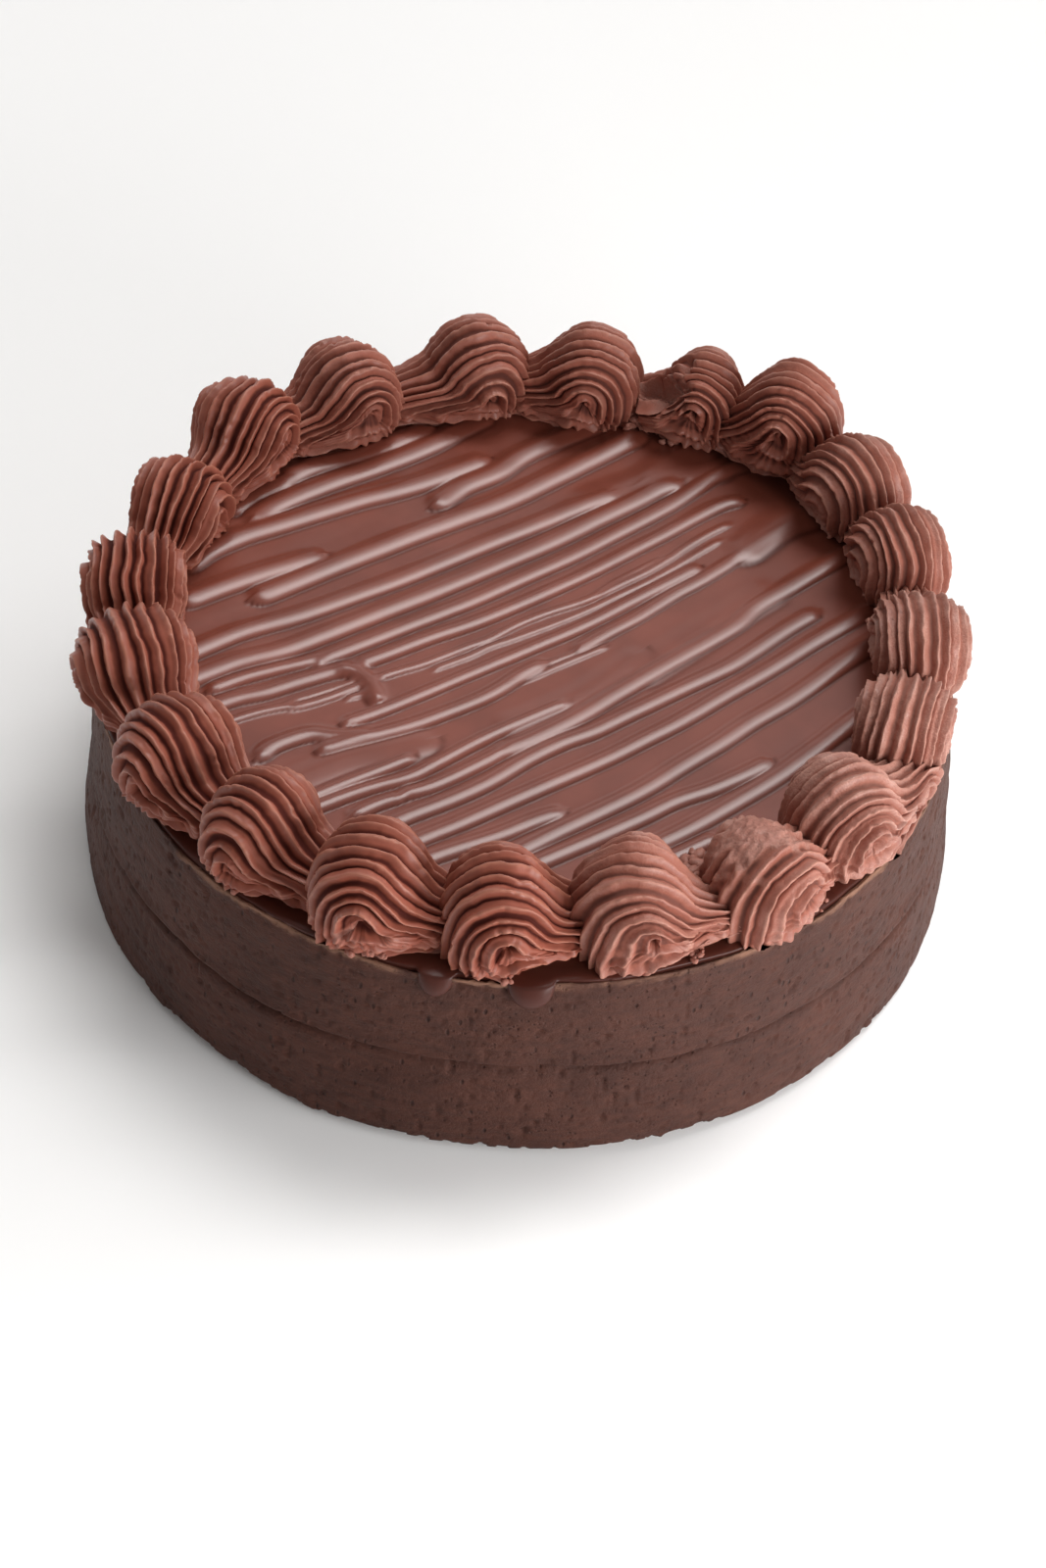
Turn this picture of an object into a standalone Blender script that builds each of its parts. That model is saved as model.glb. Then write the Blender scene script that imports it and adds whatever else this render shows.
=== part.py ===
"""Brownie cake: two chocolate-coated layers, a poured ganache top and a ring of piped shells.

Everything is in metres, +Z up, at real size. The origin is the middle of the cake's flat base,
which rests on z = 0. Angles run counter-clockwise from +X, and the shells are piped that way
round: each head sits on the tail of the shell before it.
"""

import math
from collections import namedtuple

import bmesh
import bpy
from mathutils import Matrix, Vector

# Driving dimensions of the cake
BASE_RADIUS = 0.1045
RIM_RADIUS = 0.099
CAKE_HEIGHT = 0.0525
SEAM_HEIGHT = 0.0255
GANACHE_THICKNESS = 0.0018
TOUCHING_GAP = 0.0003

# Unevenness of the hand-spread sides: how far the wall and the seam wander
WALL_WANDER = 0.0006
SEAM_WANDER = 0.0014
TIER_BULGE = 0.0007
LIP_UNDERCUT = 0.0016

# The thin ganache lip that runs over the rim
LIP_DEPTH = 0.0028
LIP_THICKNESS = 0.0011
LIP_WANDER = 0.0005

# Spacing of the points round the cake: wide on plain stretches, close where a drip hangs
WIDE_STEP = math.radians(6.5)
CLOSE_STEP = math.radians(1.2)

# Piped shells: rings across a shell, points along its girth, and the flutes
SHELL_RINGS = 15
FIRST_RING = math.radians(15.0)
CURL_BULGE = 0.05
GIRTH_POINTS = 10
FLUTE_DEPTH = 0.0011
HEAD_CENTRE_HEIGHT = 0.0088
HEAD_LENGTH_SHARE = 0.48
TAIL_WIDTH_SHARE = 0.55
TAIL_HEIGHT_SHARE = 0.42
FOOT_SHARE = 0.86
TAIL_UNDER_HEAD = 0.006
TAIL_DROP = 0.35

# Angles along a flute: from the front of the head over its top to the tail
FLUTE_START = math.radians(-12.0)
FLUTE_END = math.radians(186.0)
TAIL_START = math.radians(92.0)
TAIL_END = math.radians(178.0)

# A drip of ganache down the side
Drip = namedtuple("Drip", "angle length half_width")
DRIPS = (
    Drip(math.radians(-98.2), 0.0030, math.radians(2.6)),
    Drip(math.radians(-86.2), 0.0034, math.radians(3.2)),
)

# A piped shell: its place on the ring, its size and how far its tail turns from the next head.
# The turn is in degrees, positive towards the outside of the cake.
Shell = namedtuple("Shell", "angle radius width height tail_turn")
SHELLS = (
    Shell(101.0, 0.0945, 0.0275, 0.0220, 0.0),
    Shell(83.5, 0.0925, 0.0270, 0.0225, 0.0),
    Shell(66.0, 0.0945, 0.0240, 0.0220, 0.0),
    Shell(52.5, 0.0985, 0.0290, 0.0255, -6.0),
    Shell(37.5, 0.0955, 0.0275, 0.0220, 0.0),
    Shell(21.5, 0.0925, 0.0270, 0.0215, 0.0),
    Shell(2.5, 0.0900, 0.0265, 0.0215, 0.0),
    Shell(-15.5, 0.0885, 0.0265, 0.0220, 0.0),
    Shell(-38.5, 0.0915, 0.0290, 0.0230, 4.0),
    Shell(-54.0, 0.0910, 0.0280, 0.0230, 0.0),
    Shell(-73.0, 0.0885, 0.0280, 0.0230, 14.0),
    Shell(-91.0, 0.0885, 0.0275, 0.0225, 0.0),
    Shell(-109.0, 0.0895, 0.0280, 0.0230, 0.0),
    Shell(-127.5, 0.0885, 0.0275, 0.0230, 0.0),
    Shell(-146.5, 0.0900, 0.0275, 0.0230, 0.0),
    Shell(-166.0, 0.0905, 0.0275, 0.0225, 0.0),
    Shell(177.0, 0.0915, 0.0265, 0.0215, 0.0),
    Shell(159.5, 0.0905, 0.0265, 0.0215, 0.0),
    Shell(139.5, 0.0945, 0.0275, 0.0225, 0.0),
    Shell(122.0, 0.0925, 0.0270, 0.0220, 0.0),
)

# Colours as linear red, green and blue
COAT_COLOUR = (0.062, 0.030, 0.024, 1.0)
GANACHE_COLOUR = (0.130, 0.048, 0.036, 1.0)
PIPING_COLOUR = (0.170, 0.058, 0.038, 1.0)


def clear_scene():
    """Remove every object of the scene."""
    for item in list(bpy.data.objects):
        bpy.data.objects.remove(item, do_unlink=True)


def make_material(name, colour, roughness):
    """Make a plain Principled material."""
    material = bpy.data.materials.new(name)
    material.use_nodes = True
    shader = material.node_tree.nodes["Principled BSDF"]
    shader.inputs["Base Color"].default_value = colour
    shader.inputs["Roughness"].default_value = roughness
    shader.inputs["Metallic"].default_value = 0.0
    return material


def smooth_step(value):
    """Ease from 0 to 1 as the value goes from 0 to 1."""
    clamped = min(max(value, 0.0), 1.0)
    return clamped * clamped * (3.0 - 2.0 * clamped)


def turn_between(first, second):
    """Give the smallest angle between two directions."""
    return abs((first - second + math.pi) % (2.0 * math.pi) - math.pi)


def polar(radius, angle, height):
    """Place a point by its radius, angle and height."""
    return Vector((radius * math.cos(angle), radius * math.sin(angle), height))


def loft(name, rings, first_end, last_end, material):
    """Build a closed solid from a stack of closed rings and a point at each end."""
    bm = bmesh.new()
    ring_verts = [[bm.verts.new(point) for point in ring] for ring in rings]
    count = len(rings[0])
    for lower, upper in zip(ring_verts, ring_verts[1:]):
        for index in range(count):
            following = (index + 1) % count
            bm.faces.new((lower[index], lower[following], upper[following], upper[index]))
    for end, ring in ((first_end, ring_verts[0]), (last_end, ring_verts[-1])):
        centre = bm.verts.new(end)
        for index in range(count):
            bm.faces.new((centre, ring[index], ring[(index + 1) % count]))
    bmesh.ops.recalc_face_normals(bm, faces=bm.faces)
    bmesh.ops.triangulate(bm, faces=bm.faces)
    mesh = bpy.data.meshes.new(name)
    bm.to_mesh(mesh)
    bm.free()
    mesh.materials.append(material)
    item = bpy.data.objects.new(name, mesh)
    bpy.context.collection.objects.link(item)
    return item


def angles_round_cake():
    """List the angles of the points round the cake, closer together at the drips."""
    angles = []
    angle = -math.pi
    while angle < math.pi - CLOSE_STEP:
        angles.append(angle)
        at_drip = any(turn_between(angle, drip.angle) < 1.6 * drip.half_width for drip in DRIPS)
        angle += CLOSE_STEP if at_drip else WIDE_STEP
    return angles


def wall_radius(angle, height):
    """Give the radius of the straight, slightly tapered wall, which wanders a little."""
    taper = BASE_RADIUS + (RIM_RADIUS - BASE_RADIUS) * height / CAKE_HEIGHT
    return taper + WALL_WANDER * (0.3 * math.sin(5.0 * angle) - math.cos(2.0 * angle))


def seam_height(angle):
    """Give the height of the wavy seam between the layers."""
    return SEAM_HEIGHT + SEAM_WANDER * (math.cos(2.0 * angle + 3.2) + 0.4 * math.sin(7.0 * angle))


def drip_length(angle):
    """Give how far the drips lengthen the ganache lip at an angle."""
    length = 0.0
    for drip in DRIPS:
        offset = turn_between(angle, drip.angle) / drip.half_width
        if offset < 1.0:
            length += drip.length * math.sqrt(1.0 - offset * offset)
    return length


def lip_bottom(angle):
    """Give the height of the lower edge of the ganache lip."""
    wander = LIP_WANDER * (math.sin(3.0 * angle + 1.0) + 0.6 * math.cos(11.0 * angle))
    return CAKE_HEIGHT - LIP_DEPTH + wander - drip_length(angle)


def wall_ring(angles, inset, height_at):
    """Make a ring of points on the wall, moved inwards by the inset."""
    ring = []
    for angle in angles:
        height = height_at(angle)
        ring.append(polar(wall_radius(angle, height) - inset, angle, height))
    return ring


def make_lower_layer(angles, material):
    """Make the lower layer, flat underneath, with an undercut foot and a full belly."""

    def at_share(share):
        return lambda angle: share * seam_height(angle)

    rings = (
        wall_ring(angles, LIP_UNDERCUT, at_share(0.0)),
        wall_ring(angles, 0.25 * LIP_UNDERCUT, at_share(0.08)),
        wall_ring(angles, -0.6 * TIER_BULGE, at_share(0.35)),
        wall_ring(angles, -TIER_BULGE, at_share(0.75)),
        wall_ring(angles, -0.6 * TIER_BULGE, at_share(0.95)),
        wall_ring(angles, 1.4 * LIP_UNDERCUT, at_share(1.0)),
    )
    return loft("lower_layer", rings, (0.0, 0.0, 0.0), (0.0, 0.0, SEAM_HEIGHT), material)


def make_upper_layer(angles, material):
    """Make the upper layer, which overhangs the seam a little and is straight near its top."""
    top = CAKE_HEIGHT - GANACHE_THICKNESS - TOUCHING_GAP

    def at_share(share):
        def height(angle):
            bottom = seam_height(angle) + TOUCHING_GAP
            return bottom + share * (top - bottom)

        return height

    rings = (
        wall_ring(angles, 1.4 * LIP_UNDERCUT, at_share(0.0)),
        wall_ring(angles, -0.8 * TIER_BULGE, at_share(0.06)),
        wall_ring(angles, -TIER_BULGE, at_share(0.35)),
        wall_ring(angles, 0.0, at_share(0.6)),
        wall_ring(angles, 0.0, at_share(0.97)),
        wall_ring(angles, 0.6 * LIP_THICKNESS, at_share(1.0)),
    )
    bottom_centre = (0.0, 0.0, SEAM_HEIGHT + TOUCHING_GAP)
    return loft("upper_layer", rings, bottom_centre, (0.0, 0.0, top), material)


def make_ganache(angles, material):
    """Make the ganache: a disc on the upper layer whose lip and drips run over the rim."""
    underside = CAKE_HEIGHT - GANACHE_THICKNESS
    clear = 1.5 * TOUCHING_GAP

    def level(height):
        return lambda angle: height

    def up_lip(share):
        return lambda angle: lip_bottom(angle) + share * (CAKE_HEIGHT - lip_bottom(angle))

    rings = (
        wall_ring(angles, -clear, level(underside)),
        wall_ring(angles, -clear, up_lip(0.0)),
        wall_ring(angles, -clear - 0.6 * LIP_THICKNESS, up_lip(0.0)),
        wall_ring(angles, -clear - LIP_THICKNESS, up_lip(0.3)),
        wall_ring(angles, -clear - 0.8 * LIP_THICKNESS, up_lip(0.7)),
        wall_ring(angles, 2.0 * LIP_THICKNESS, level(CAKE_HEIGHT)),
    )
    return loft("ganache_top", rings, (0.0, 0.0, underside), (0.0, 0.0, CAKE_HEIGHT), material)


def shell_seat(shell):
    """Give the point on the ganache under the middle of a shell's head."""
    return polar(shell.radius, math.radians(shell.angle), CAKE_HEIGHT)


def tail_reach(number):
    """Give the way from a head to the end of its tail, which lies under the next head."""
    way = shell_seat(SHELLS[number - 1]) - shell_seat(SHELLS[number])
    turned = Matrix.Rotation(math.radians(-SHELLS[number].tail_turn), 3, "Z") @ way
    return turned.normalized() * (way.length - TAIL_UNDER_HEAD)


def shell_point(shell, tail_length, across, along, swell):
    """Give one point of a piped shell in its own axes: outwards, towards the tail, up.

    The flutes are rings round an axis that points outwards. Across runs over them, from the
    curl on the outer side (0) to the one on the inner side (pi). Along follows a flute: 0 is
    the front of the head, a quarter turn is its top and a half turn is the tail.
    """
    ring_size = math.sin(across)
    to_tail = smooth_step((along - TAIL_START) / (TAIL_END - TAIL_START))
    head_reach = HEAD_LENGTH_SHARE * shell.width + swell
    reach = head_reach + (tail_length - head_reach) * to_tail
    width = (0.5 * shell.width + swell) * (1.0 - (1.0 - TAIL_WIDTH_SHARE) * to_tail)
    head_rise = shell.height - HEAD_CENTRE_HEIGHT + swell
    rise = head_rise * (1.0 - (1.0 - TAIL_HEIGHT_SHARE) * to_tail)
    middle = HEAD_CENTRE_HEIGHT * (1.0 - TAIL_DROP * to_tail)
    return Vector((
        width * math.cos(across),
        -reach * ring_size ** (1.0 - 0.5 * to_tail) * math.cos(along),
        middle + rise * ring_size * math.sin(along),
    ))


def shell_ring(shell, tail_length, across, swell, floor):
    """Give one closed flute of a shell, from its front over the top to the tail and its feet."""
    steps = GIRTH_POINTS - 3
    ring = []
    for step in range(steps + 1):
        along = FLUTE_START + (FLUTE_END - FLUTE_START) * step / steps
        point = shell_point(shell, tail_length, across, along, swell)
        point.z = max(point.z, floor)
        ring.append(point)
    ring_size = math.sin(across)
    foot_drop = smooth_step(1.6 * ring_size - 0.35)
    side_share = 1.0 - (1.0 - FOOT_SHARE) * ring_size
    for point in (ring[-1], ring[0]):
        under = max(point.z - 0.5 * HEAD_CENTRE_HEIGHT * ring_size, floor)
        foot_height = under + (floor - under) * foot_drop
        ring.append(Vector((side_share * point.x, FOOT_SHARE * point.y, foot_height)))
    return ring


def make_shell_solid(name, number, swell, floor, with_valleys, material):
    """Make one shell as a closed solid, with the valleys between its flutes or without them."""
    shell = SHELLS[number]
    seat = shell_seat(shell)
    tail_way = tail_reach(number)
    up = Vector((0.0, 0.0, 1.0))
    outward = tail_way.normalized().cross(up)
    to_cake = Matrix((outward, tail_way.normalized(), up)).transposed()
    rings = []
    for index in range(0, SHELL_RINGS, 1 if with_valleys else 2):
        across = FIRST_RING + (math.pi - 2.0 * FIRST_RING) * index / (SHELL_RINGS - 1)
        depth = FLUTE_DEPTH * (index % 2)
        ring = shell_ring(shell, tail_way.length, across, swell - depth, floor)
        rings.append([seat + to_cake @ point for point in ring])
    bulge = CURL_BULGE * shell.width * outward
    outer_end = sum(rings[0], Vector()) / GIRTH_POINTS + bulge
    inner_end = sum(rings[-1], Vector()) / GIRTH_POINTS - bulge
    return loft(name, rings, outer_end, inner_end, material)


def make_shell(number, material):
    """Make one shell of the ring, with its tail cut where the next head sits on it."""
    name = f"shell_{number + 1:02d}"
    body = make_shell_solid(name, number, 0.0, TOUCHING_GAP, True, material)
    clear = 2.0 * TOUCHING_GAP
    room = make_shell_solid(f"room_{name}", number - 1, clear, -clear, False, material)
    room.hide_render = True
    room.display_type = "WIRE"
    cut = body.modifiers.new("next_head", "BOOLEAN")
    cut.operation = "DIFFERENCE"
    cut.object = room
    return body


def build_cake():
    """Build the whole cake."""
    clear_scene()
    coat = make_material("chocolate_coat", COAT_COLOUR, 0.45)
    ganache = make_material("ganache", GANACHE_COLOUR, 0.22)
    piping = make_material("piped_frosting", PIPING_COLOUR, 0.55)
    angles = angles_round_cake()
    make_lower_layer(angles, coat)
    make_upper_layer(angles, coat)
    make_ganache(angles, ganache)
    for number in range(len(SHELLS)):
        make_shell(number, piping)


build_cake()
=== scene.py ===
"""Looks of the brownie cake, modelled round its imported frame.

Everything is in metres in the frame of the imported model: +Z is up and the origin is the middle of
the cake's base. Angles run counter-clockwise from +X. The shells are piped that way round, so each
tail ends under the head of the next shell.
"""

import itertools
import logging
import math
from dataclasses import dataclass, field
from enum import Enum
from typing import Union

import bmesh
import bpy
import numpy as np
from mathutils import Matrix, Quaternion, Vector


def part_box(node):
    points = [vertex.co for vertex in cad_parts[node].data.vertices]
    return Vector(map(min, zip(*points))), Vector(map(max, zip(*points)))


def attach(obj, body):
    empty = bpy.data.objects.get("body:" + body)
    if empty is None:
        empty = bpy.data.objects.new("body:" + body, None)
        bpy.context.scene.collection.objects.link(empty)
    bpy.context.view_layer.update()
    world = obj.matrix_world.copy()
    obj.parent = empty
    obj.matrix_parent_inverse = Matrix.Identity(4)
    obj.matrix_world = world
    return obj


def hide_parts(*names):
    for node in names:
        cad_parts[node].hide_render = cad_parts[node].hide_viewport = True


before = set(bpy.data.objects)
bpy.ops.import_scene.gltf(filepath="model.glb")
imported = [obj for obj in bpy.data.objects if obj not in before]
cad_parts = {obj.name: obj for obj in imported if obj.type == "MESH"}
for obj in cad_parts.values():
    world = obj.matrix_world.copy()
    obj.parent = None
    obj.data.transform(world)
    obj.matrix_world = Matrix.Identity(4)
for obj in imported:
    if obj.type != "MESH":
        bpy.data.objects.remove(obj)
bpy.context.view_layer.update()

MM = 0.001
BODY = "root"
TAU = 2.0 * math.pi
TINY = 1e-12
WELD_DISTANCE = 0.001 * MM
LOG = logging.getLogger("brownie_cake")

# Stirring of the cell numbers from which the lumps draw their heights
CELL_PRIMES = (73856093, 19349663, 83492791)
CELL_STIR = 1274126177
SEED_STEP = 374761393
SEED_SHIFT = 19.7
HIGHEST_DRAW = 0xFFFF

# The radius at which patterns are laid round the cake
PATTERN_RADIUS = 0.1

Colour = tuple[float, float, float, float]
Field = np.ndarray

# One scale of unevenness: its strength, the size of its lumps in metres and its seed
Scale = tuple[float, float, int]

# One sort of pits or chips: its strength, size and seed, and the level over which its lumps count
Pocks = tuple[float, float, int, float]


# ---------------------------------------------------------------- shared shaping helpers


def ease(value: Field) -> Field:
    """Ease from 0 to 1 as the value goes from 0 to 1.

    Args:
        value: Numbers of any size; they are clamped first.

    Returns:
        The eased numbers, from 0 to 1.
    """
    clamped = np.clip(value, 0.0, 1.0)
    return clamped * clamped * (3.0 - 2.0 * clamped)


def lumps(points: Field, size: float, seed: int) -> Field:
    """Give smooth unevenness at each point.

    Args:
        points: Points as rows of three, in metres.
        size: The rough size of one lump, in metres.
        seed: Which pattern to use; the same seed always gives the same pattern.

    Returns:
        One number from -1 to 1 for each point.
    """
    scaled = points / size + SEED_SHIFT * seed
    cell = np.floor(scaled).astype(np.int64)
    part = scaled - cell
    soft = part**3 * (part * (part * 6.0 - 15.0) + 10.0)
    total = np.zeros(len(points))
    for corner in itertools.product((0, 1), repeat=3):
        first, second, third = ((cell + np.array(corner)) * np.array(CELL_PRIMES)).T
        mixed = first ^ second ^ third
        mixed = (mixed ^ (mixed >> 13)) * CELL_STIR + seed * SEED_STEP
        mixed = (mixed ^ (mixed >> 16)) & HIGHEST_DRAW
        weight = np.where(np.array(corner), soft, 1.0 - soft).prod(axis=1)
        total += weight * (mixed / (0.5 * HIGHEST_DRAW) - 1.0)
    return total


def layered(points: Field, *scales: Scale) -> Field:
    """Add up unevenness of several scales.

    Args:
        points: Points as rows of three, in metres.
        scales: The scales.

    Returns:
        One number for each point, in the unit of the strengths.
    """
    return sum(strength * lumps(points, size, seed) for strength, size, seed in scales)


def peaks(points: Field, size: float, seed: int, level: float) -> Field:
    """Give how far the lumps rise over a level.

    Args:
        points: Points as rows of three, in metres.
        size: The rough size of one lump, in metres.
        seed: Which pattern to use.
        level: The level, from -1 to 1; below it the result is 0.

    Returns:
        One number from 0 to 1 for each point.
    """
    return np.clip(lumps(points, size, seed) - level, 0.0, 1.0)


def pocked(points: Field, *sorts: Pocks) -> Field:
    """Add up pits or chips of several sorts.

    Args:
        points: Points as rows of three, in metres.
        sorts: The sorts.

    Returns:
        One number for each point, in the unit of the strengths.
    """
    return sum(strength * peaks(points, size, seed, level) for strength, size, seed, level in sorts)


def round_cake(angle: Field, height: Union[Field, float]) -> Field:
    """Give the places of a pattern that is laid round the cake.

    Args:
        angle: The angle round the cake.
        height: The height, in metres.

    Returns:
        The places, as rows of three.
    """
    heights = height * np.ones_like(angle)
    return np.column_stack((PATTERN_RADIUS * np.cos(angle), PATTERN_RADIUS * np.sin(angle), heights))


def curve_through(knots: Field, share: Field, closed: bool) -> Field:
    """Follow a smooth curve through some knots.

    Args:
        knots: The points that the curve passes through, as rows.
        share: How far along the curve each wanted point is, from 0 to 1.
        closed: Whether the curve runs on from its last knot to its first.

    Returns:
        One point on the curve for each share, as rows.
    """
    count = len(knots)
    spans = count if closed else count - 1
    place = np.clip(share, 0.0, 1.0) * spans
    first = np.minimum(np.floor(place).astype(int), spans - 1)
    part = (place - first)[:, None]

    def knot(index: Field) -> Field:
        """Give the knot at an index, which wraps or stops at the ends."""
        return knots[index % count] if closed else knots[np.clip(index, 0, count - 1)]

    before, start, end, after = (knot(first + step) for step in (-1, 0, 1, 2))
    bend = 2.0 * before - 5.0 * start + 4.0 * end - after
    twist = 3.0 * (start - end) + after - before
    return 0.5 * (2.0 * start + (end - before) * part + bend * part**2 + twist * part**3)


def mesh_points(mesh: bpy.types.Mesh) -> Field:
    """Read the places of a mesh's vertices.

    Args:
        mesh: The mesh.

    Returns:
        The places, as rows of three.
    """
    flat = np.empty(len(mesh.vertices) * 3)
    mesh.vertices.foreach_get("co", flat)
    return flat.reshape(-1, 3)


def store_points(mesh: bpy.types.Mesh, points: Field) -> None:
    """Write the places of a mesh's vertices, from rows of three."""
    mesh.vertices.foreach_set("co", points.astype(np.float32).ravel())
    mesh.update()


def store_attribute(mesh: bpy.types.Mesh, name: str, values: Field) -> None:
    """Keep one number for each vertex under a name that the finishes read."""
    layer = mesh.attributes.new(name, "FLOAT", "POINT")
    layer.data.foreach_set("value", values.astype(np.float32))


def new_piece(name: str, bm: bmesh.types.BMesh) -> bpy.types.Object:
    """Turn a bmesh into a smooth-shaded object at the origin.

    Args:
        name: The piece's name.
        bm: The shape, which is freed.

    Returns:
        The new object, linked to the scene.
    """
    mesh = bpy.data.meshes.new(name)
    bm.to_mesh(mesh)
    bm.free()
    mesh.shade_smooth()
    piece = bpy.data.objects.new(name, mesh)
    bpy.context.scene.collection.objects.link(piece)
    return piece


def face_outwards(mesh: bpy.types.Mesh) -> None:
    """Point every face of a closed mesh outwards.

    Args:
        mesh: The mesh.
    """
    bm = bmesh.new()
    bm.from_mesh(mesh)
    bmesh.ops.recalc_face_normals(bm, faces=bm.faces)
    bm.to_mesh(mesh)
    bm.free()


def weld(mesh: bpy.types.Mesh) -> None:
    """Join the two edges where a wrapped grid meets itself, and close its open ends.

    Args:
        mesh: The mesh.
    """
    bm = bmesh.new()
    bm.from_mesh(mesh)
    seam = {vert for edge in bm.edges if edge.is_boundary for vert in edge.verts}
    bmesh.ops.remove_doubles(bm, verts=list(seam), dist=WELD_DISTANCE)
    bmesh.ops.holes_fill(bm, edges=[edge for edge in bm.edges if edge.is_boundary], sides=0)
    bm.to_mesh(mesh)
    bm.free()


def dress(piece: bpy.types.Object, material: bpy.types.Material, slot: str, *nodes: str) -> None:
    """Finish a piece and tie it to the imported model.

    Args:
        piece: The piece.
        material: Its finish.
        slot: The record's material slot that the finish stands for.
        nodes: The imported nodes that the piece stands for.
    """
    piece.data.materials.clear()
    piece.data.materials.append(material)
    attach(piece, BODY)
    if nodes:
        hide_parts(*nodes)
    LOG.info("%s: %d faces, slot %s", piece.name, len(piece.data.polygons), slot)


# ---------------------------------------------------------------- shader building


class Wire:
    """One output in a finish's node tree, for sums written as plain expressions."""

    def __init__(self, nodes: "ShaderTree", socket: bpy.types.NodeSocket) -> None:
        """Keep the tree and the output socket."""
        self.nodes = nodes
        self.socket = socket

    def _sum(self, operation: str, first: "Term", second: "Term") -> "Wire":
        """Add a Math node that joins two terms."""
        return self.nodes.add("ShaderNodeMath", {"operation": operation}, {0: first, 1: second})

    def __add__(self, other: "Term") -> "Wire":
        """Add a term."""
        return self._sum("ADD", self, other)

    def __radd__(self, other: "Term") -> "Wire":
        """Add this to a term."""
        return self._sum("ADD", other, self)

    def __sub__(self, other: "Term") -> "Wire":
        """Take a term away."""
        return self._sum("SUBTRACT", self, other)

    def __rsub__(self, other: "Term") -> "Wire":
        """Take this away from a term."""
        return self._sum("SUBTRACT", other, self)

    def __mul__(self, other: "Term") -> "Wire":
        """Multiply by a term."""
        return self._sum("MULTIPLY", self, other)

    def __rmul__(self, other: "Term") -> "Wire":
        """Multiply a term by this."""
        return self._sum("MULTIPLY", other, self)

    def __truediv__(self, other: "Term") -> "Wire":
        """Divide by a term."""
        return self._sum("DIVIDE", self, other)

    def __rtruediv__(self, other: "Term") -> "Wire":
        """Divide a term by this."""
        return self._sum("DIVIDE", other, self)

    def __pow__(self, other: "Term") -> "Wire":
        """Raise to a power."""
        return self._sum("POWER", self, other)

    def fade(self, low: float, high: float) -> "Wire":
        """Ease from 0 at the low value to 1 at the high one."""
        inputs = {"Value": self, "From Min": low, "From Max": high}
        return self.nodes.add("ShaderNodeMapRange", {"interpolation_type": "SMOOTHSTEP"}, inputs)


Term = Union[Wire, float]


class ShaderTree:
    """A node tree that is being built."""

    def __init__(self, tree: bpy.types.NodeTree) -> None:
        """Start with an empty tree."""
        self.tree = tree
        self.tree.nodes.clear()

    def add(self, kind: str, settings: dict, inputs: dict, output: Union[int, str] = 0) -> Wire:
        """Add one node.

        Args:
            kind: The node's type.
            settings: Its properties, set first.
            inputs: The values or wires of its sockets, by index or name.
            output: Which output to give back.

        Returns:
            That output.
        """
        node = self.tree.nodes.new(kind)
        for name, value in settings.items():
            setattr(node, name, value)
        for name, value in inputs.items():
            if isinstance(value, Wire):
                self.tree.links.new(value.socket, node.inputs[name])
            else:
                node.inputs[name].default_value = value
        return Wire(self, node.outputs[output])

    def join(self, shader: Wire, kind: str) -> None:
        """Join a shader to an output node of the given type."""
        output = self.tree.nodes.new(kind)
        self.tree.links.new(shader.socket, output.inputs["Surface"])


class FinishNodes(ShaderTree):
    """The node tree of one finish."""

    def __init__(self, name: str) -> None:
        """Make an empty material.

        Args:
            name: The material's name.
        """
        self.material = bpy.data.materials.new(name)
        self.material.use_nodes = True
        super().__init__(self.material.node_tree)

    def places(self, stretch: tuple[float, float, float] = (1.0, 1.0, 1.0)) -> Wire:
        """Give the place on the piece, stretched for a pattern with a grain."""
        source = self.add("ShaderNodeTexCoord", {}, {}, "Object")
        return self.add("ShaderNodeMapping", {}, {"Vector": source, "Scale": stretch})

    def attribute(self, name: str) -> Wire:
        """Read a number kept on the mesh."""
        return self.add("ShaderNodeAttribute", {"attribute_name": name}, {}, "Fac")

    def noise(self, place: Wire, size: float, detail: float = 2.0, rough: float = 0.5) -> Wire:
        """Give cloudy noise from 0 to 1, with features of about a size in metres."""
        inputs = {"Vector": place, "Scale": 1.0 / size, "Detail": detail, "Roughness": rough}
        return self.add("ShaderNodeTexNoise", {}, inputs, 0)

    def cells(self, place: Wire, size: float) -> Wire:
        """Give the distance to the nearest of many scattered points, in cell sizes."""
        return self.add("ShaderNodeTexVoronoi", {}, {"Vector": place, "Scale": 1.0 / size}, "Distance")

    def mix(self, share: Term, first: Union[Wire, Colour], second: Union[Wire, Colour]) -> Wire:
        """Mix two colours."""
        return self.add("ShaderNodeMix", {"data_type": "RGBA"}, {0: share, 6: first, 7: second}, 2)

    def bump(self, height: Wire, depth: float) -> Wire:
        """Turn a height from 0 to 1 into a bump of a depth in metres."""
        return self.add("ShaderNodeBump", {}, {"Height": height, "Distance": depth, "Strength": 1.0})

    def finish(self, inputs: dict) -> bpy.types.Material:
        """Join a Principled shader with the given inputs to the output."""
        self.join(self.add("ShaderNodeBsdfPrincipled", {}, inputs), "ShaderNodeOutputMaterial")
        return self.material


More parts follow.
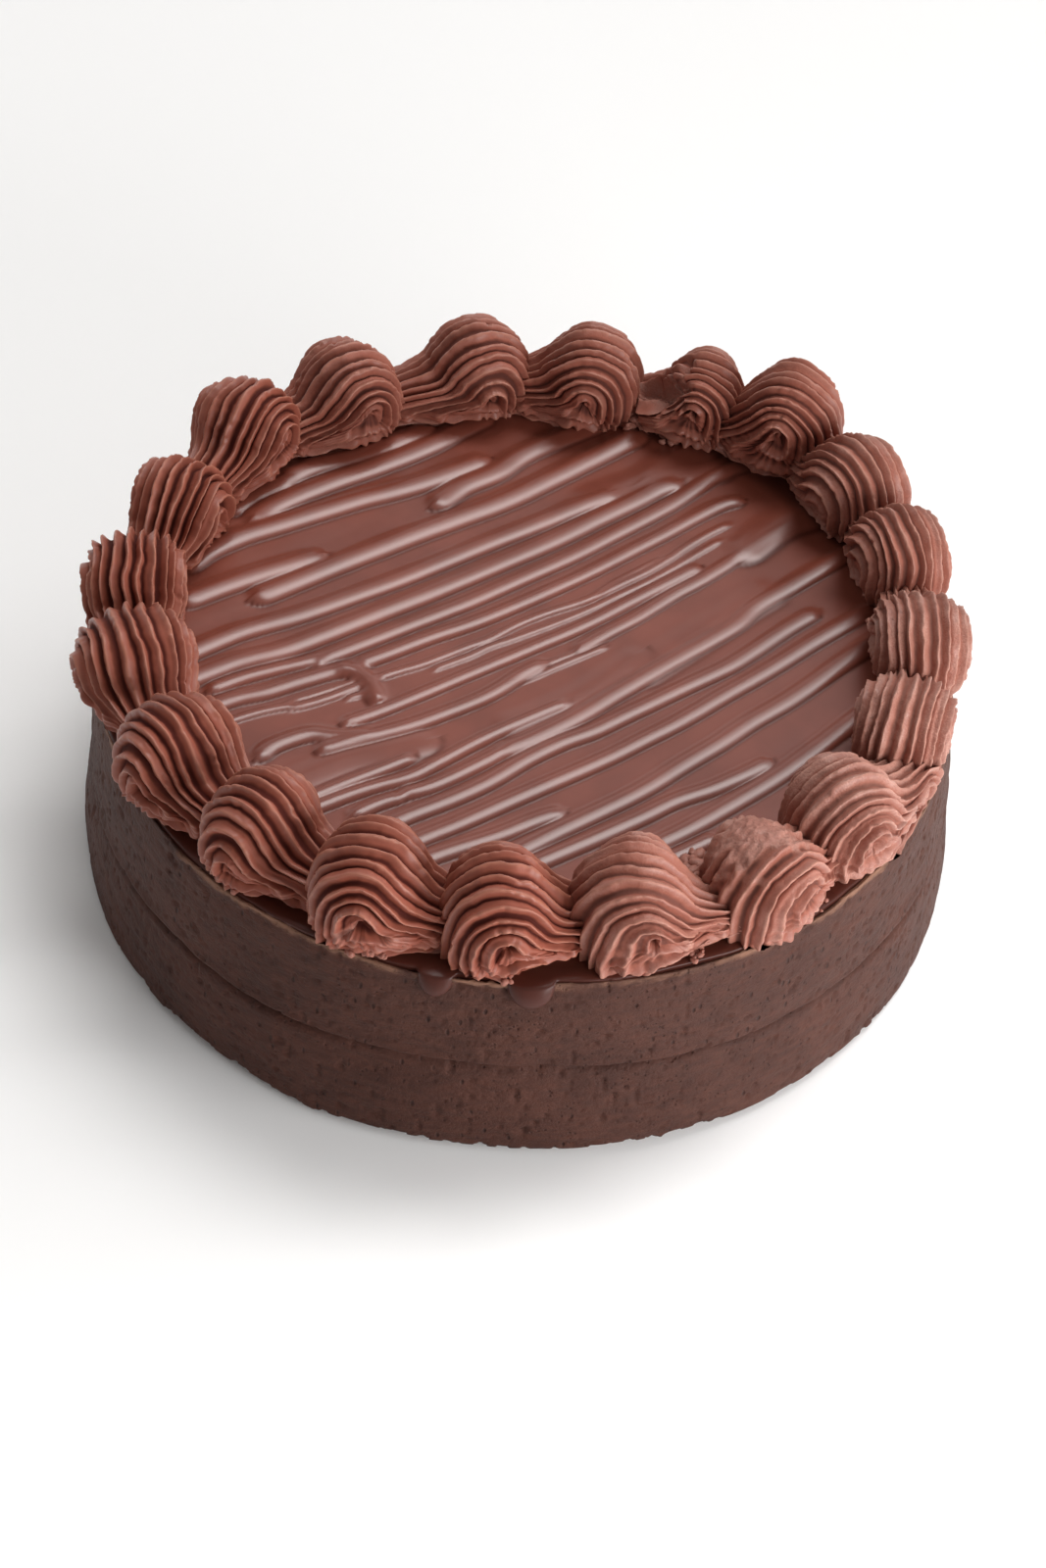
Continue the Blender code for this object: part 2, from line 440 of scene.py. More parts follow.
@dataclass(frozen=True)
class PipedFinish:
    """Satin piped frosting: deep hollows with painted shade, warm ridges with a painted glow of light through
    them, paler dry patches with a painted sheen, and a fine grain.
    """

    # Painted shade colour for the hollows between the flutes
    hollow_shade: Colour = (0.068, 0.012, 0.008, 1.0)
    body: Colour = (0.285, 0.079, 0.049, 1.0)
    # Painted light colour: the glow of light through the thin crests
    ridge: Colour = (0.365, 0.130, 0.080, 1.0)
    # Pale colour of dry frosting, also used for a painted sheen and painted light
    pale: Colour = (0.500, 0.275, 0.220, 1.0)
    roughness: float = 0.45
    skin: float = 0.75
    skin_roughness: float = 0.42
    skin_ior: float = 1.45
    specular: float = 0.15
    cloud_size: float = 6.0 * MM
    bubble_size: float = 1.3 * MM
    grain_size: float = 0.45 * MM
    grain_depth: float = 0.12 * MM

    def make(self) -> bpy.types.Material:
        """Build the material.

        Returns:
            The material.
        """
        nodes = FinishNodes("piped_frosting")
        place = nodes.places()
        crest = nodes.attribute("crest")
        grain = nodes.attribute("grain")
        cloud = nodes.noise(place, self.cloud_size, 3.0)
        fine = nodes.noise(place, self.grain_size, 3.0, 0.6)
        # Painted shade: the hollows between the flutes take the dark colour; the grainier shells on the lit
        # right side get less of it
        colour = nodes.mix((crest + 0.22 * grain).fade(0.00, 0.45), self.hollow_shade, self.body)
        # Painted light: the crests are tinted warm orange for light glowing through the thin frosting
        edge = (crest + (cloud - 0.5) * 0.5).fade(0.72, 1.05)
        colour = nodes.mix(edge * 0.8, colour, self.ridge)
        # Partly dry dusty paleness, partly a painted sheen on the raised parts of the flutes
        dusty_and_sheen = (cloud * 0.6 + fine * 0.5 - 0.15).fade(0.25, 0.75) * (0.06 + 1.0 * grain)
        colour = nodes.mix(dusty_and_sheen * crest.fade(0.1, 0.5), colour, self.pale)
        # Grainy shells are painted paler: partly their dry grain, partly painted light on the shells at the
        # lit right side
        colour = nodes.mix(0.32 * grain, colour, self.pale)
        bubbles = nodes.cells(place, self.bubble_size).fade(0.0, 0.28)
        height = fine * (0.35 + 2.0 * grain) + bubbles * 0.9 * grain
        dull = 0.18 * fine + 0.12 * grain + 0.30 * (1.0 - crest.fade(0.1, 0.6))
        return nodes.finish({
            "Base Color": colour,
            "Roughness": self.roughness + dull,
            "Normal": nodes.bump(height, self.grain_depth),
            "Specular IOR Level": self.specular,
            "Coat Weight": self.skin * crest.fade(0.25, 0.85),
            "Coat Roughness": self.skin_roughness,
            "Coat IOR": self.skin_ior,
        })


@dataclass(frozen=True)
class GanacheFinish:
    """Glossy poured ganache with a soft clear skin, painted shade at the steep feet of the ridges and under
    the shells, and darker painted shade on the edge and drips over the rim.
    """

    body: Colour = (0.225, 0.056, 0.034, 1.0)
    deep: Colour = (0.185, 0.045, 0.027, 1.0)
    # Painted shade colour under the shells and on the edge over the rim
    painted_shade: Colour = (0.036, 0.009, 0.006, 1.0)
    # Painted shade and dark reflection colour for the edge and drips over the rim
    drip: Colour = (0.068, 0.019, 0.013, 1.0)
    # Painted shade colour for the steep feet of the ridges
    foot: Colour = (0.045, 0.010, 0.007, 1.0)
    roughness: float = 0.42
    skin_roughness: float = 0.28
    skin_ior: float = 1.52
    specular: float = 0.12
    cloud_size: float = 14.0 * MM
    speck_size: float = 0.8 * MM
    speck_depth: float = 0.003 * MM

    def make(self) -> bpy.types.Material:
        """Build the material.

        Returns:
            The material.
        """
        nodes = FinishNodes("ganache")
        place = nodes.places()
        cloud = nodes.noise(place, self.cloud_size, 3.0)
        speck = nodes.noise(place, self.speck_size, 2.0)
        colour = nodes.mix(cloud.fade(0.3, 0.7), self.deep, self.body)
        # Painted shade: a dark line along the steep foot of each ridge
        foot = nodes.attribute("foot")
        colour = nodes.mix(foot * 0.65, colour, self.foot)
        # Painted shade: darker under the shells and on the edge and drips over the rim
        drip = nodes.attribute("drip")
        colour = nodes.mix(drip, colour, self.painted_shade)
        # Painted shade: the edge and drips over the rim are darkened further, standing in for dark
        # reflections and shade
        colour = nodes.mix(drip.fade(0.78, 0.98), colour, self.drip)
        return nodes.finish({
            "Base Color": colour,
            "Roughness": self.roughness + 0.06 * cloud,
            "Normal": nodes.bump(speck, self.speck_depth),
            "Specular IOR Level": self.specular,
            "Coat Weight": (1.0 - 0.78 * drip) * (1.0 - 0.9 * foot),
            "Coat Roughness": self.skin_roughness,
            "Coat IOR": self.skin_ior,
        })


@dataclass(frozen=True)
class CoatFinish:
    """Spread chocolate coat: dark satin with fine pits, painted shade in the pores and pits, level smears and
    a painted light along the crust at the rim.
    """

    dark: Colour = (0.044, 0.0145, 0.0095, 1.0)
    light: Colour = (0.090, 0.032, 0.021, 1.0)
    # Painted shade colour for the pores and pits
    pit_shade: Colour = (0.028, 0.009, 0.006, 1.0)
    # Painted light colour for the lit crust at the rim
    crust: Colour = (0.300, 0.150, 0.095, 1.0)
    roughness: float = 0.50
    specular: float = 0.22
    cloud_size: float = 22.0 * MM
    patch_size: float = 7.0 * MM
    smear_size: float = 4.5 * MM
    pore_size: float = 2.6 * MM
    pit_size: float = 1.5 * MM
    grit_size: float = 1.5 * MM
    fine_size: float = 0.7 * MM
    crust_from: float = 49.8
    crust_full: float = 51.3
    relief_depth: float = 0.70 * MM

    def make(self) -> bpy.types.Material:
        """Build the material.

        Returns:
            The material.
        """
        nodes = FinishNodes("chocolate_coat")
        place = nodes.places()
        cloud = nodes.noise(place, self.cloud_size, 4.0)
        smear = nodes.noise(nodes.places((1.0, 1.0, 3.2)), self.smear_size, 4.0, 0.6)
        fine = nodes.noise(place, self.fine_size, 3.0, 0.6)
        colour = nodes.mix((cloud * 0.5 + smear * 0.6 - 0.05).fade(0.25, 0.75), self.dark, self.light)
        patchy = nodes.noise(place, self.patch_size, 2.0)
        pores = nodes.cells(nodes.places((1.0, 1.0, 0.5)), self.pore_size).fade(0.06, 0.22)
        pores = 1.0 - (1.0 - pores) * patchy.fade(0.44, 0.56)
        pits = nodes.cells(place, self.pit_size).fade(0.08, 0.30)
        pits = 1.0 - (1.0 - pits) * (1.0 - patchy.fade(0.40, 0.60))
        grit = nodes.noise(nodes.places((1.0, 1.0, 1.7)), self.grit_size, 4.0, 0.7)
        # Painted shade in the pores and pits
        colour = nodes.mix((1.0 - pores * (0.5 + 0.5 * pits)) * 0.8, colour, self.pit_shade)
        rise = nodes.add("ShaderNodeSeparateXYZ", {}, {"Vector": place}, "Z") / MM + (smear - 0.5) * 3.0
        # Painted light: a pale, patchy band along the top of the crust at the rim, as if lit from above
        crust = rise.fade(self.crust_from, self.crust_full) * cloud.fade(0.39, 0.55)
        height = 0.5 * pores + 0.35 * pits + 0.25 * smear + 0.6 * grit + 0.2 * fine
        return nodes.finish({
            "Base Color": nodes.mix(0.7 * crust, colour, self.crust),
            "Roughness": self.roughness + 0.16 * smear + 0.06 * fine,
            "Normal": nodes.bump(height, self.relief_depth),
            "Specular IOR Level": self.specular,
        })


@dataclass(frozen=True)
class FloorFinish:
    """Plain pale floor."""

    colour: Colour = (0.97, 0.97, 0.965, 1.0)
    roughness: float = 0.7

    def make(self) -> bpy.types.Material:
        """Build the material.

        Returns:
            The material.
        """
        nodes = FinishNodes("pale_floor")
        return nodes.finish({"Base Color": self.colour, "Roughness": self.roughness})


# ---------------------------------------------------------------- the cake's wall and its layers


@dataclass(frozen=True)
class Wall:
    """The slightly tapered, hand-spread side of the cake, shared by the layers and the ganache."""

    base_radius: float = 104.5 * MM
    rim_radius: float = 99.0 * MM
    height: float = 52.5 * MM
    wander: float = 0.6 * MM
    seam: float = 25.5 * MM
    seam_wander: float = 1.4 * MM

    def radius(self, angle: Field, height: Field) -> Field:
        """Give the wall's radius at an angle and a height."""
        taper = self.base_radius + (self.rim_radius - self.base_radius) * height / self.height
        return taper + self.wander * (0.3 * np.sin(5.0 * angle) - np.cos(2.0 * angle))

    def seam_height(self, angle: Field) -> Field:
        """Give the height of the wavy seam between the layers."""
        return self.seam + self.seam_wander * (np.cos(2.0 * angle + 3.2) + 0.4 * np.sin(7.0 * angle))


class Tier(Enum):
    """Which of the two cake layers a piece is."""

    LOWER = "lower_layer"
    UPPER = "upper_layer"


@dataclass
class CakeLayer:
    """One cake layer in its spread coat, turned from a profile and pressed uneven.

    The shares are parts of the layer's height.
    """

    tier: Tier
    wall: Wall
    steps_round: int = 1440
    wall_rings: int = 50
    cap_shares: tuple[float, ...] = (0.04, 0.5, 0.9)
    gap: float = 0.15 * MM
    bulge: float = 0.7 * MM
    foot_undercut: float = 1.9 * MM
    foot_share: float = 0.075
    foot_chips: float = 1.6 * MM
    front_side: float = math.radians(-92.0)
    front_start: float = 0.55
    front_fade: float = 0.25
    front_lift: float = 2.6 * MM
    lift_share: float = 0.07
    lift_fade: float = 0.02
    seam_undercut: float = 2.3 * MM
    seam_least: float = 0.35
    seam_share_below: float = 0.10
    seam_share_above: float = 0.03
    seam_overhang: float = 0.5 * MM
    overhang_share: float = 0.12
    overhang_fade: float = 0.02
    crust_thickness: float = 1.6 * MM
    crust_smear: float = 0.45 * MM
    crust_share: float = 0.90
    crust_fade: float = 0.015
    crust_cover: float = 0.6
    rim_drop: float = 0.2 * MM
    rim_round: float = 1.1 * MM
    rim_share: float = 0.025
    seam_waves: tuple[Scale, ...] = ((0.45 * MM, 9.0 * MM, 33), (0.2 * MM, 3.0 * MM, 34))
    rim_waves: tuple[Scale, ...] = ((0.35 * MM, 11.0 * MM, 31), (0.15 * MM, 3.5 * MM, 32))
    spread_marks: tuple[Scale, ...] = (
        (0.35 * MM, 24.0 * MM, 3),
        (0.16 * MM, 7.0 * MM, 5),
        (0.06 * MM, 2.4 * MM, 8),
    )
    groove_waves: Scale = (1.2, 20.0 * MM, 18)
    lift_waves: tuple[Scale, ...] = ((0.035, 9.0 * MM, 19), (0.025, 2.4 * MM, 20))
    crust_places: Scale = (1.5, 14.0 * MM, 15)
    crust_waves: tuple[Scale, ...] = ((0.035, 3.0 * MM, 13), (0.02, 1.2 * MM, 14))
    pits: tuple[Pocks, ...] = ((1.5 * MM, 2.3 * MM, 16, 0.55), (1.0 * MM, 1.3 * MM, 17, 0.50))
    chips: tuple[Pocks, ...] = ((1.0, 3.2 * MM, 11, 0.35), (1.0, 1.6 * MM, 12, 0.45))

    def build(self, material: bpy.types.Material) -> bpy.types.Object:
        """Wrap a grid round the cake, shape it and dress the layer.

        Args:
            material: The layer's finish.

        Returns:
            The finished piece.
        """
        rings = 2 * len(self.cap_shares) + self.wall_rings
        bm = bmesh.new()
        bmesh.ops.create_grid(bm, x_segments=self.steps_round, y_segments=rings - 1, size=1.0)
        piece = new_piece(f"{self.tier.value}_coated", bm)
        tags = mesh_points(piece.data)
        ring = np.rint((tags[:, 1] + 1.0) * 0.5 * (rings - 1))
        store_points(piece.data, self.shape(ring, math.pi * tags[:, 0]))
        weld(piece.data)
        face_outwards(piece.data)
        dress(piece, material, "chocolate_coat", self.tier.value)
        return piece

    def shape(self, ring: Field, angle: Field) -> Field:
        """Give the place of every point from its ring of the profile and its angle.

        Args:
            ring: The number of the ring, from the bottom's middle over the wall to the top's middle.
            angle: The angle round the cake.

        Returns:
            The points, as rows of three.
        """
        caps = len(self.cap_shares)
        last = 2 * caps + self.wall_rings - 1
        up = np.clip((ring - caps) / (self.wall_rings - 1.0), 0.0, 1.0)
        low, high = self.edges(angle)
        height = low + (high - low) * up
        radius = self.wall.radius(angle, height) + self.relief(up, angle, height)
        for index, share in enumerate(self.cap_shares):
            radius = np.where((ring == index) | (ring == last - index), radius * share, radius)
        sunk = (ring >= last - caps) & (self.tier is Tier.UPPER)
        height = height - np.where(sunk, self.crust_thickness, 0.0)
        return np.column_stack((radius * np.cos(angle), radius * np.sin(angle), height))

    def edges(self, angle: Field) -> tuple[Field, Field]:
        """Give the heights of the layer's lower and upper edge.

        Args:
            angle: The angle round the cake.

        Returns:
            The two heights at each angle.
        """
        place = round_cake(angle, 0.0)
        seam = self.wall.seam_height(angle) + layered(place, *self.seam_waves)
        if self.tier is Tier.LOWER:
            return np.zeros_like(angle), seam
        return seam + self.gap, self.wall.height - self.rim_drop + layered(place, *self.rim_waves)

    def relief(self, up: Field, angle: Field, height: Field) -> Field:
        """Give how far the wall stands out from the plain taper.

        Args:
            up: How far up the layer each point is, from 0 to 1.
            angle: Its angle round the cake.
            height: Its height.

        Returns:
            The distance outwards.
        """
        place = round_cake(angle, height)
        out = self.bulge * np.sin(math.pi * up) ** 0.6
        out += layered(place * np.array((1.0, 1.0, 3.0)), *self.spread_marks)
        out -= pocked(place, *self.pits)
        open_share = ease(0.5 + layered(place, self.groove_waves))
        groove = self.seam_undercut * (self.seam_least + (1.0 - self.seam_least) * open_share)
        if self.tier is Tier.LOWER:
            near_seam = ease(1.0 - (1.0 - up) / self.seam_share_below)
            return out - self.foot_wear(place, up, angle) - groove * near_seam ** 2
        return out + self.rim_wear(place, up) - groove * (1.0 - ease(up / self.seam_share_above)) ** 2

    def foot_wear(self, place: Field, up: Field, angle: Field) -> Field:
        """Give how far the cake's foot is cut back: undercut, chipped, and lifted at the front.

        Args:
            place: Where each point is in the pattern round the cake.
            up: How far up the layer it is.
            angle: Its angle round the cake.

        Returns:
            The distance inwards.
        """
        edge = 1.0 - ease(up / self.foot_share)
        lifted = self.lift_share + layered(place, *self.lift_waves)
        front = ease((np.cos(angle - self.front_side) - self.front_start) / self.front_fade)
        cut = self.foot_undercut * edge ** 2 + self.foot_chips * pocked(place, *self.chips) * edge
        return cut + self.front_lift * front * (1.0 - ease((up - lifted) / self.lift_fade))

    def rim_wear(self, place: Field, up: Field) -> Field:
        """Give how far the upper layer overhangs the seam, and its smeared crust and round rim.

        Args:
            place: Where each point is in the pattern round the cake.
            up: How far up the layer it is.

        Returns:
            The distance outwards.
        """
        hanging = (1.0 - ease(up / self.overhang_share)) * ease(up / self.overhang_fade)
        ragged = self.crust_share + layered(place, *self.crust_waves)
        smeared = ease((up - ragged) / self.crust_fade)
        smeared *= ease(layered(place, self.crust_places) + self.crust_cover)
        rounding = ease(1.0 - (1.0 - up) / self.rim_share) ** 2
        return self.seam_overhang * hanging + self.crust_smear * smeared - self.rim_round * rounding


# ---------------------------------------------------------------- the ganache and its drizzle


@dataclass(frozen=True)
class Stroke:
    """One drizzled line of ganache, in millimetres along and across the drizzle."""

    knots: tuple[tuple[float, float], ...]
    half_width: float = 2.1
    height: float = 1.05


# Half width and height of the usual kinds of line
THICK = (2.9, 1.35)
THIN = (0.85, 0.42)
WAVE = (4.4, 1.1)
BROAD = (3.6, 0.55)
DRIZZLE = (
    Stroke(((-31, 80.6), (-26, 82), (-21, 82.6), (-16, 82)), *THICK),
    Stroke(((-13, 83), (-8, 83.4), (0, 82.4), (10, 81), (24, 80)), *THICK),
    Stroke(((-28, 74.2), (-23, 75.6), (-15, 76), (-5, 75.8), (5, 75.3), (22, 74.9), (30, 75.9), (39, 77)),
            *THICK),
    Stroke(((-50, 68.5), (-44, 70), (-35, 70.3), (-25, 69.2), (-5, 67), (3, 65.6), (13, 64.2),
            (29, 63.2)), *THICK),
    Stroke(((-56, 57.6), (-48, 57.4), (-38, 56.6), (-28, 55.3), (-24, 54.6)), *THICK),
    Stroke(((13, 56.2), (20, 57.8), (30, 57.9), (38, 59.6), (45, 60.2), (52, 60.3), (62, 60.2)),
            *THICK),
    Stroke(((-41, 49.9), (-20, 49.8), (0, 49.4), (10, 48.9), (25, 48.3), (40, 48.8), (52, 49.7),
            (68, 51)), *THICK),
    Stroke(((-70, 41.8), (-55, 41.9), (-48, 41.2), (-38, 39.6), (-25, 38.6), (-10, 37.8), (30, 37.2),
            (49, 36.2)), 2.6, 1.25),
    Stroke(((46, 37.6), (60, 36.5), (68, 35), (78, 31)), 4.2, 0.8),
    Stroke(((-70, 34.4), (-60, 33.8), (-55, 32.9), (-48, 31.4), (-38, 30.8), (-10, 30), (20, 30),
            (50, 31), (60, 31.8), (65, 31.3)), 2.6, 1.25),
    Stroke(((-67, 28.6), (-60, 28), (-52, 26.5), (-45, 25), (-41.6, 24.4), (-42, 22.8)), 1.8),
    Stroke(((-39.5, 24), (-25, 23.3), (-10, 22.8), (0, 22.4), (20, 22.8), (35, 23.4), (50, 24.4),
            (60, 25.4), (68, 26.9), (75, 28.2), (82, 28.4), (90, 27))),
    Stroke(((-74, 24.5), (-65, 23.4), (-58, 21.5), (-50, 20.5), (-42, 19.4), (-38.5, 18.4))),
    Stroke(((-38.5, 18.4), (-36.6, 16), (-35.8, 13), (-36, 10), (-37, 6.5)), 2.0, 1.5),
    Stroke(((-33.5, 18), (-25, 17.4), (-15, 16.9), (-5, 15.9), (5, 15.5), (15, 15.5), (30, 16),
            (50, 17.2), (60, 18.1), (70, 18.8), (75, 18)), 1.9),
    Stroke(((-73, 18.2), (-65, 17.1), (-60, 16), (-56, 14.7), (-54, 13.4), (-48, 12.5), (-37.5, 12)),
            1.1, 0.6),
    Stroke(((-56, 14.7), (-54, 15.6), (-50, 15), (-45, 14.5), (-37.5, 13.6)), *THIN),
    Stroke(((-42.5, 10), (-38, 9)), *THIN),
    Stroke(((-33.5, 12), (-28, 11.3), (-22, 10.3), (-10, 9.8), (-5, 9.3), (3, 9.8), (12, 9.4), (20, 8.3),
            (26, 7.9)), 1.1, 0.6),
    Stroke(((26, 8.6), (32, 9.6), (38, 9.9), (46, 10.4)), *THIN),
    Stroke(((22, 7.8), (32, 8.3), (40, 8.4), (48, 9.4), (53, 10.4), (60, 11.4), (67, 11.9)), 1.0, 0.5),
    Stroke(((-20, 7.5), (-12, 7), (-6, 7.2), (0, 6.4), (10, 5.4), (20, 5), (30, 5.3), (40, 5.6),
            (50, 6.6), (62, 8)), *THIN),
    Stroke(((-47, 3.7), (-38, 3), (-25, 2.4), (-10, 2.2), (0, 1.8), (10, 1.3), (20, 1.3), (30, 2),
            (40, 2.6), (51, 3.2)), 1.7, 0.9),
    Stroke(((-69, 5.3), (-66, 6.1), (-60, 5.6), (-56, 4.6), (-53, 2.2), (-50, 0.2), (-46, -1.5))),
    Stroke(((-56, -0.9), (-50, -1.9), (-43, -3), (-38, -4), (-33, -4.8), (-25, -5.5), (-18, -5.8),
            (-12, -5.3), (-6, -4.2), (0, -3.9)), 1.9),
    Stroke(((-12, -5.6), (-5, -6.2), (5, -6.8), (16.5, -7.3)), *THIN),
    Stroke(((-3, -4.4), (6, -5), (13, -5.8)), *THIN),
    Stroke(((12, -4.3), (20, -3.5), (28, -3), (35, -2), (42, -1), (50, -0.5), (58, 0.4), (66, 1.8),
            (74, 3.2), (82, 4)), 1.8, 0.8),
    Stroke(((-72, -5.5), (-58, -6), (-50, -7), (-43, -8.6), (-37, -10)), *BROAD),
    Stroke(((-71, -11.7), (-60, -12.4), (-52, -12.9), (-45, -12.9), (-42.5, -13)), 1.7),
    Stroke(((-71, -14.8), (-60, -15.9), (-52, -17), (-45, -18), (-38, -17.6), (-25, -17), (-12, -17),
            (-3, -17.3)), 1.7),
    Stroke(((-16, -16.4), (-3, -16.9), (8, -16.5), (20, -14)), *BROAD),
    Stroke(((-61, -21.5), (-55, -21.7), (-51, -22.3)), 1.7),
    Stroke(((-48, -22), (-42, -22.9), (-30, -23), (-24, -22.8)), 1.8),
    Stroke(((-22, -22.3), (-15, -22.6), (0, -22), (10, -21), (20, -20), (30, -19), (40, -18), (48, -17),
            (55, -15), (65, -14), (72, -13), (88, -11)), 2.3),
    Stroke(((20, -18), (34, -16), (48, -13.6), (60, -12.4)), 4.4, 0.5),
    Stroke(((66, 3), (74, 5), (80, 5.8), (86, 5)), *WAVE),
    Stroke(((62, 36.4), (70, 38.2), (78, 38.6)), *WAVE),
    Stroke(((-62, -28), (-50, -27.9), (-38, -28.4), (-30, -28.4), (-20, -27.3), (-10, -27), (0, -28),
            (20, -28), (35, -27.9), (43, -27), (50, -26), (58, -25), (64.5, -24.4))),
    Stroke(((-54.5, -35.2), (-40, -35.4), (-25, -36), (-5, -36.5), (10, -36.5), (20, -36), (30, -35),
            (40, -34), (50, -33), (60, -32), (70, -31), (77, -30))),
    Stroke(((-60, -40.6), (-48, -41.5), (-38, -42.9), (-30, -43.5), (-24, -44.4))),
    Stroke(((-45, -49), (-25, -49), (-10, -49), (0, -48.5), (10, -47.5), (20, -46.5), (30, -45),
            (40, -44), (50, -42.6), (60, -41), (74, -39)), 2.3),
    Stroke(((-40, -54), (-25, -55), (-10, -55.6), (0, -55.6), (10, -57.2), (20, -57.5), (24.5, -57.3))),
    Stroke(((-16, -64), (0, -64), (10, -63.5), (20, -62.5), (30, -61), (40, -59), (50, -57), (58, -55.5)),
            2.2),
    Stroke(((-14, -69), (0, -69.5)), 1.8),
)


def ganache_level() -> float:
    """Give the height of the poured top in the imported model."""
    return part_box("ganache_top")[1].z


@dataclass(frozen=True)
class Drip:
    """A drip of ganache down the side: its angle, length, half width and thickness."""

    angle: float
    length: float
    half_width: float
    thickness: float


@dataclass
class Ganache:
    """The poured top: a disc with drizzled ridges, an uneven edge inside the rim and a few drips.

    The ridges' reaches are in half widths of a line.
    """

    wall: Wall
    across: int = 520
    along: int = 145
    rim_rings: int = 12
    drip_rings: float = 4.0
    square_band: float = 0.1
    chord: float = 0.985
    drizzle_turn: float = math.radians(38.0)
    flat_share: float = 0.90
    flat_fade: float = 0.09
    wobble: Scale = (0.45, 17.0 * MM, 2)
    streaks: tuple[Scale, ...] = ((0.05, 5.0 * MM, 21), (0.14, 12.0 * MM, 22))
    path_steps: int = 6
    near_reach: float = 2.4
    back_reach: float = 1.45
    front_reach: float = 1.5
    front_soft: float = 0.1
    front_curve: tuple[float, float, float] = (0.5, 0.5, 0.78)
    front_full: float = 1.73
    foot_place: float = 0.98
    foot_width: float = 0.16
    tuck_depth: float = 1.6 * MM
    tuck_inwards: float = 3.0 * MM
    crust_gap: float = 0.35 * MM
    edge_round: float = 3.0 * MM
    edge_drop: float = 0.35 * MM
    edge_waves: tuple[Scale, ...] = ((0.45 * MM, 22.0 * MM, 23), (0.25 * MM, 6.0 * MM, 24))
    round_share: float = 0.25
    tuck_share: float = 0.85
    # Where the painted shade under the shells begins, how far further in it reaches on the shaded side, how
    # it fades in and how deep it is
    shade_radius: float = 91.0 * MM
    shaded_side_reach: float = 7.0 * MM
    shade_fade: float = 5.0 * MM
    shade_depth: float = 0.75
    shaded_side: float = math.radians(35.0)
    drips: tuple[Drip, ...] = (
        Drip(math.radians(-98.2), 5.8 * MM, math.radians(2.3), 2.7 * MM),
        Drip(math.radians(-86.6), 6.2 * MM, math.radians(3.0), 3.1 * MM),
    )

    def build(self, material: bpy.types.Material) -> bpy.types.Object:
        """Lay the grid, run its border over the rim, shape it and dress it.

        Args:
            material: The ganache's finish.

        Returns:
            The finished piece.
        """
        bm = bmesh.new()
        bmesh.ops.create_grid(bm, x_segments=self.along, y_segments=self.across, size=1.0)
        border = [edge for edge in bm.edges if edge.is_boundary]
        for _ in range(self.rim_rings):
            grown = bmesh.ops.extrude_edge_only(bm, edges=border)["geom"]
            moved = [item for item in grown if isinstance(item, bmesh.types.BMVert)]
            bmesh.ops.translate(bm, verts=moved, vec=(0.0, 0.0, -1.0))
            border = [item for item in grown if isinstance(item, bmesh.types.BMEdge)]
        bmesh.ops.contextual_create(bm, geom=border)
        bmesh.ops.triangulate(bm, faces=[face for face in bm.faces if len(face.verts) > 4])
        piece = new_piece("ganache_poured", bm)
        tags = mesh_points(piece.data)
        points, foot = self.shape(tags)
        store_points(piece.data, points)
        # This mask carries painted shade: full on the edge and drips over the rim, plus the painted shade
        # under the shells
        drip = np.maximum(ease(-tags[:, 2] / self.drip_rings), self.painted_shade(points))
        store_attribute(piece.data, "drip", drip)
        store_attribute(piece.data, "foot", foot)
        face_outwards(piece.data)
        dress(piece, material, "ganache", "ganache_top")
        return piece

    def painted_shade(self, points: Field) -> Field:
        """Give how strongly each point gets painted shade under the shells; it reaches further in on the
        shaded side.

        Args:
            points: The points of the top, as rows of three.

        Returns:
            One number from 0 to 1 for each point.
        """
        turned = np.arctan2(points[:, 1], points[:, 0]) - self.shaded_side
        reach = self.shade_radius - self.shaded_side_reach * ease(1.5 * np.cos(turned))
        return self.shade_depth * ease((np.hypot(points[:, 0], points[:, 1]) - reach) / self.shade_fade)

    def shape(self, tags: Field) -> tuple[Field, Field]:
        """Turn the tagged grid into the poured top.

        Args:
            tags: Square places from -1 to 1, and minus the ring's number below the border.

        Returns:
            The points, as rows of three, and how near each is to the steep foot of a ridge.
        """
        side, depth = tags[:, :2], np.rint(-tags[:, 2])
        row = self.chord * side[:, 1]
        along = side[:, 0] * np.sqrt(1.0 - row ** 2)
        arc = np.sqrt(np.clip(1.0 - along ** 2, 0.0, 1.0)) - self.chord
        at_side = ease((np.abs(side[:, 1]) - 1.0 + self.square_band) / self.square_band)
        over = row + arc * at_side * np.sign(row)
        share = np.clip(np.hypot(along, over), 0.0, 1.0)
        flat_angle = np.arctan2(over, along)
        turned = flat_angle + self.drizzle_turn
        angle = np.arctan2(np.sin(turned), np.cos(turned))
        rim = self.wall.radius(angle, np.full_like(angle, self.wall.height)) - self.edge_round
        radius = share * rim
        across = np.column_stack((radius * np.cos(flat_angle), radius * np.sin(flat_angle)))
        relief, foot = self.ridges(across)
        height = ganache_level() + relief * (1.0 - ease((radius / rim - self.flat_share) / self.flat_fade))
        over_rim = depth > 0
        rim_radius, rim_height = self.over_the_rim(angle, depth / self.rim_rings)
        radius = np.where(over_rim, rim_radius, radius)
        height = np.where(over_rim, rim_height, height)
        points = np.column_stack((radius * np.cos(angle), radius * np.sin(angle), height))
        return points, np.where(over_rim, 0.0, foot)

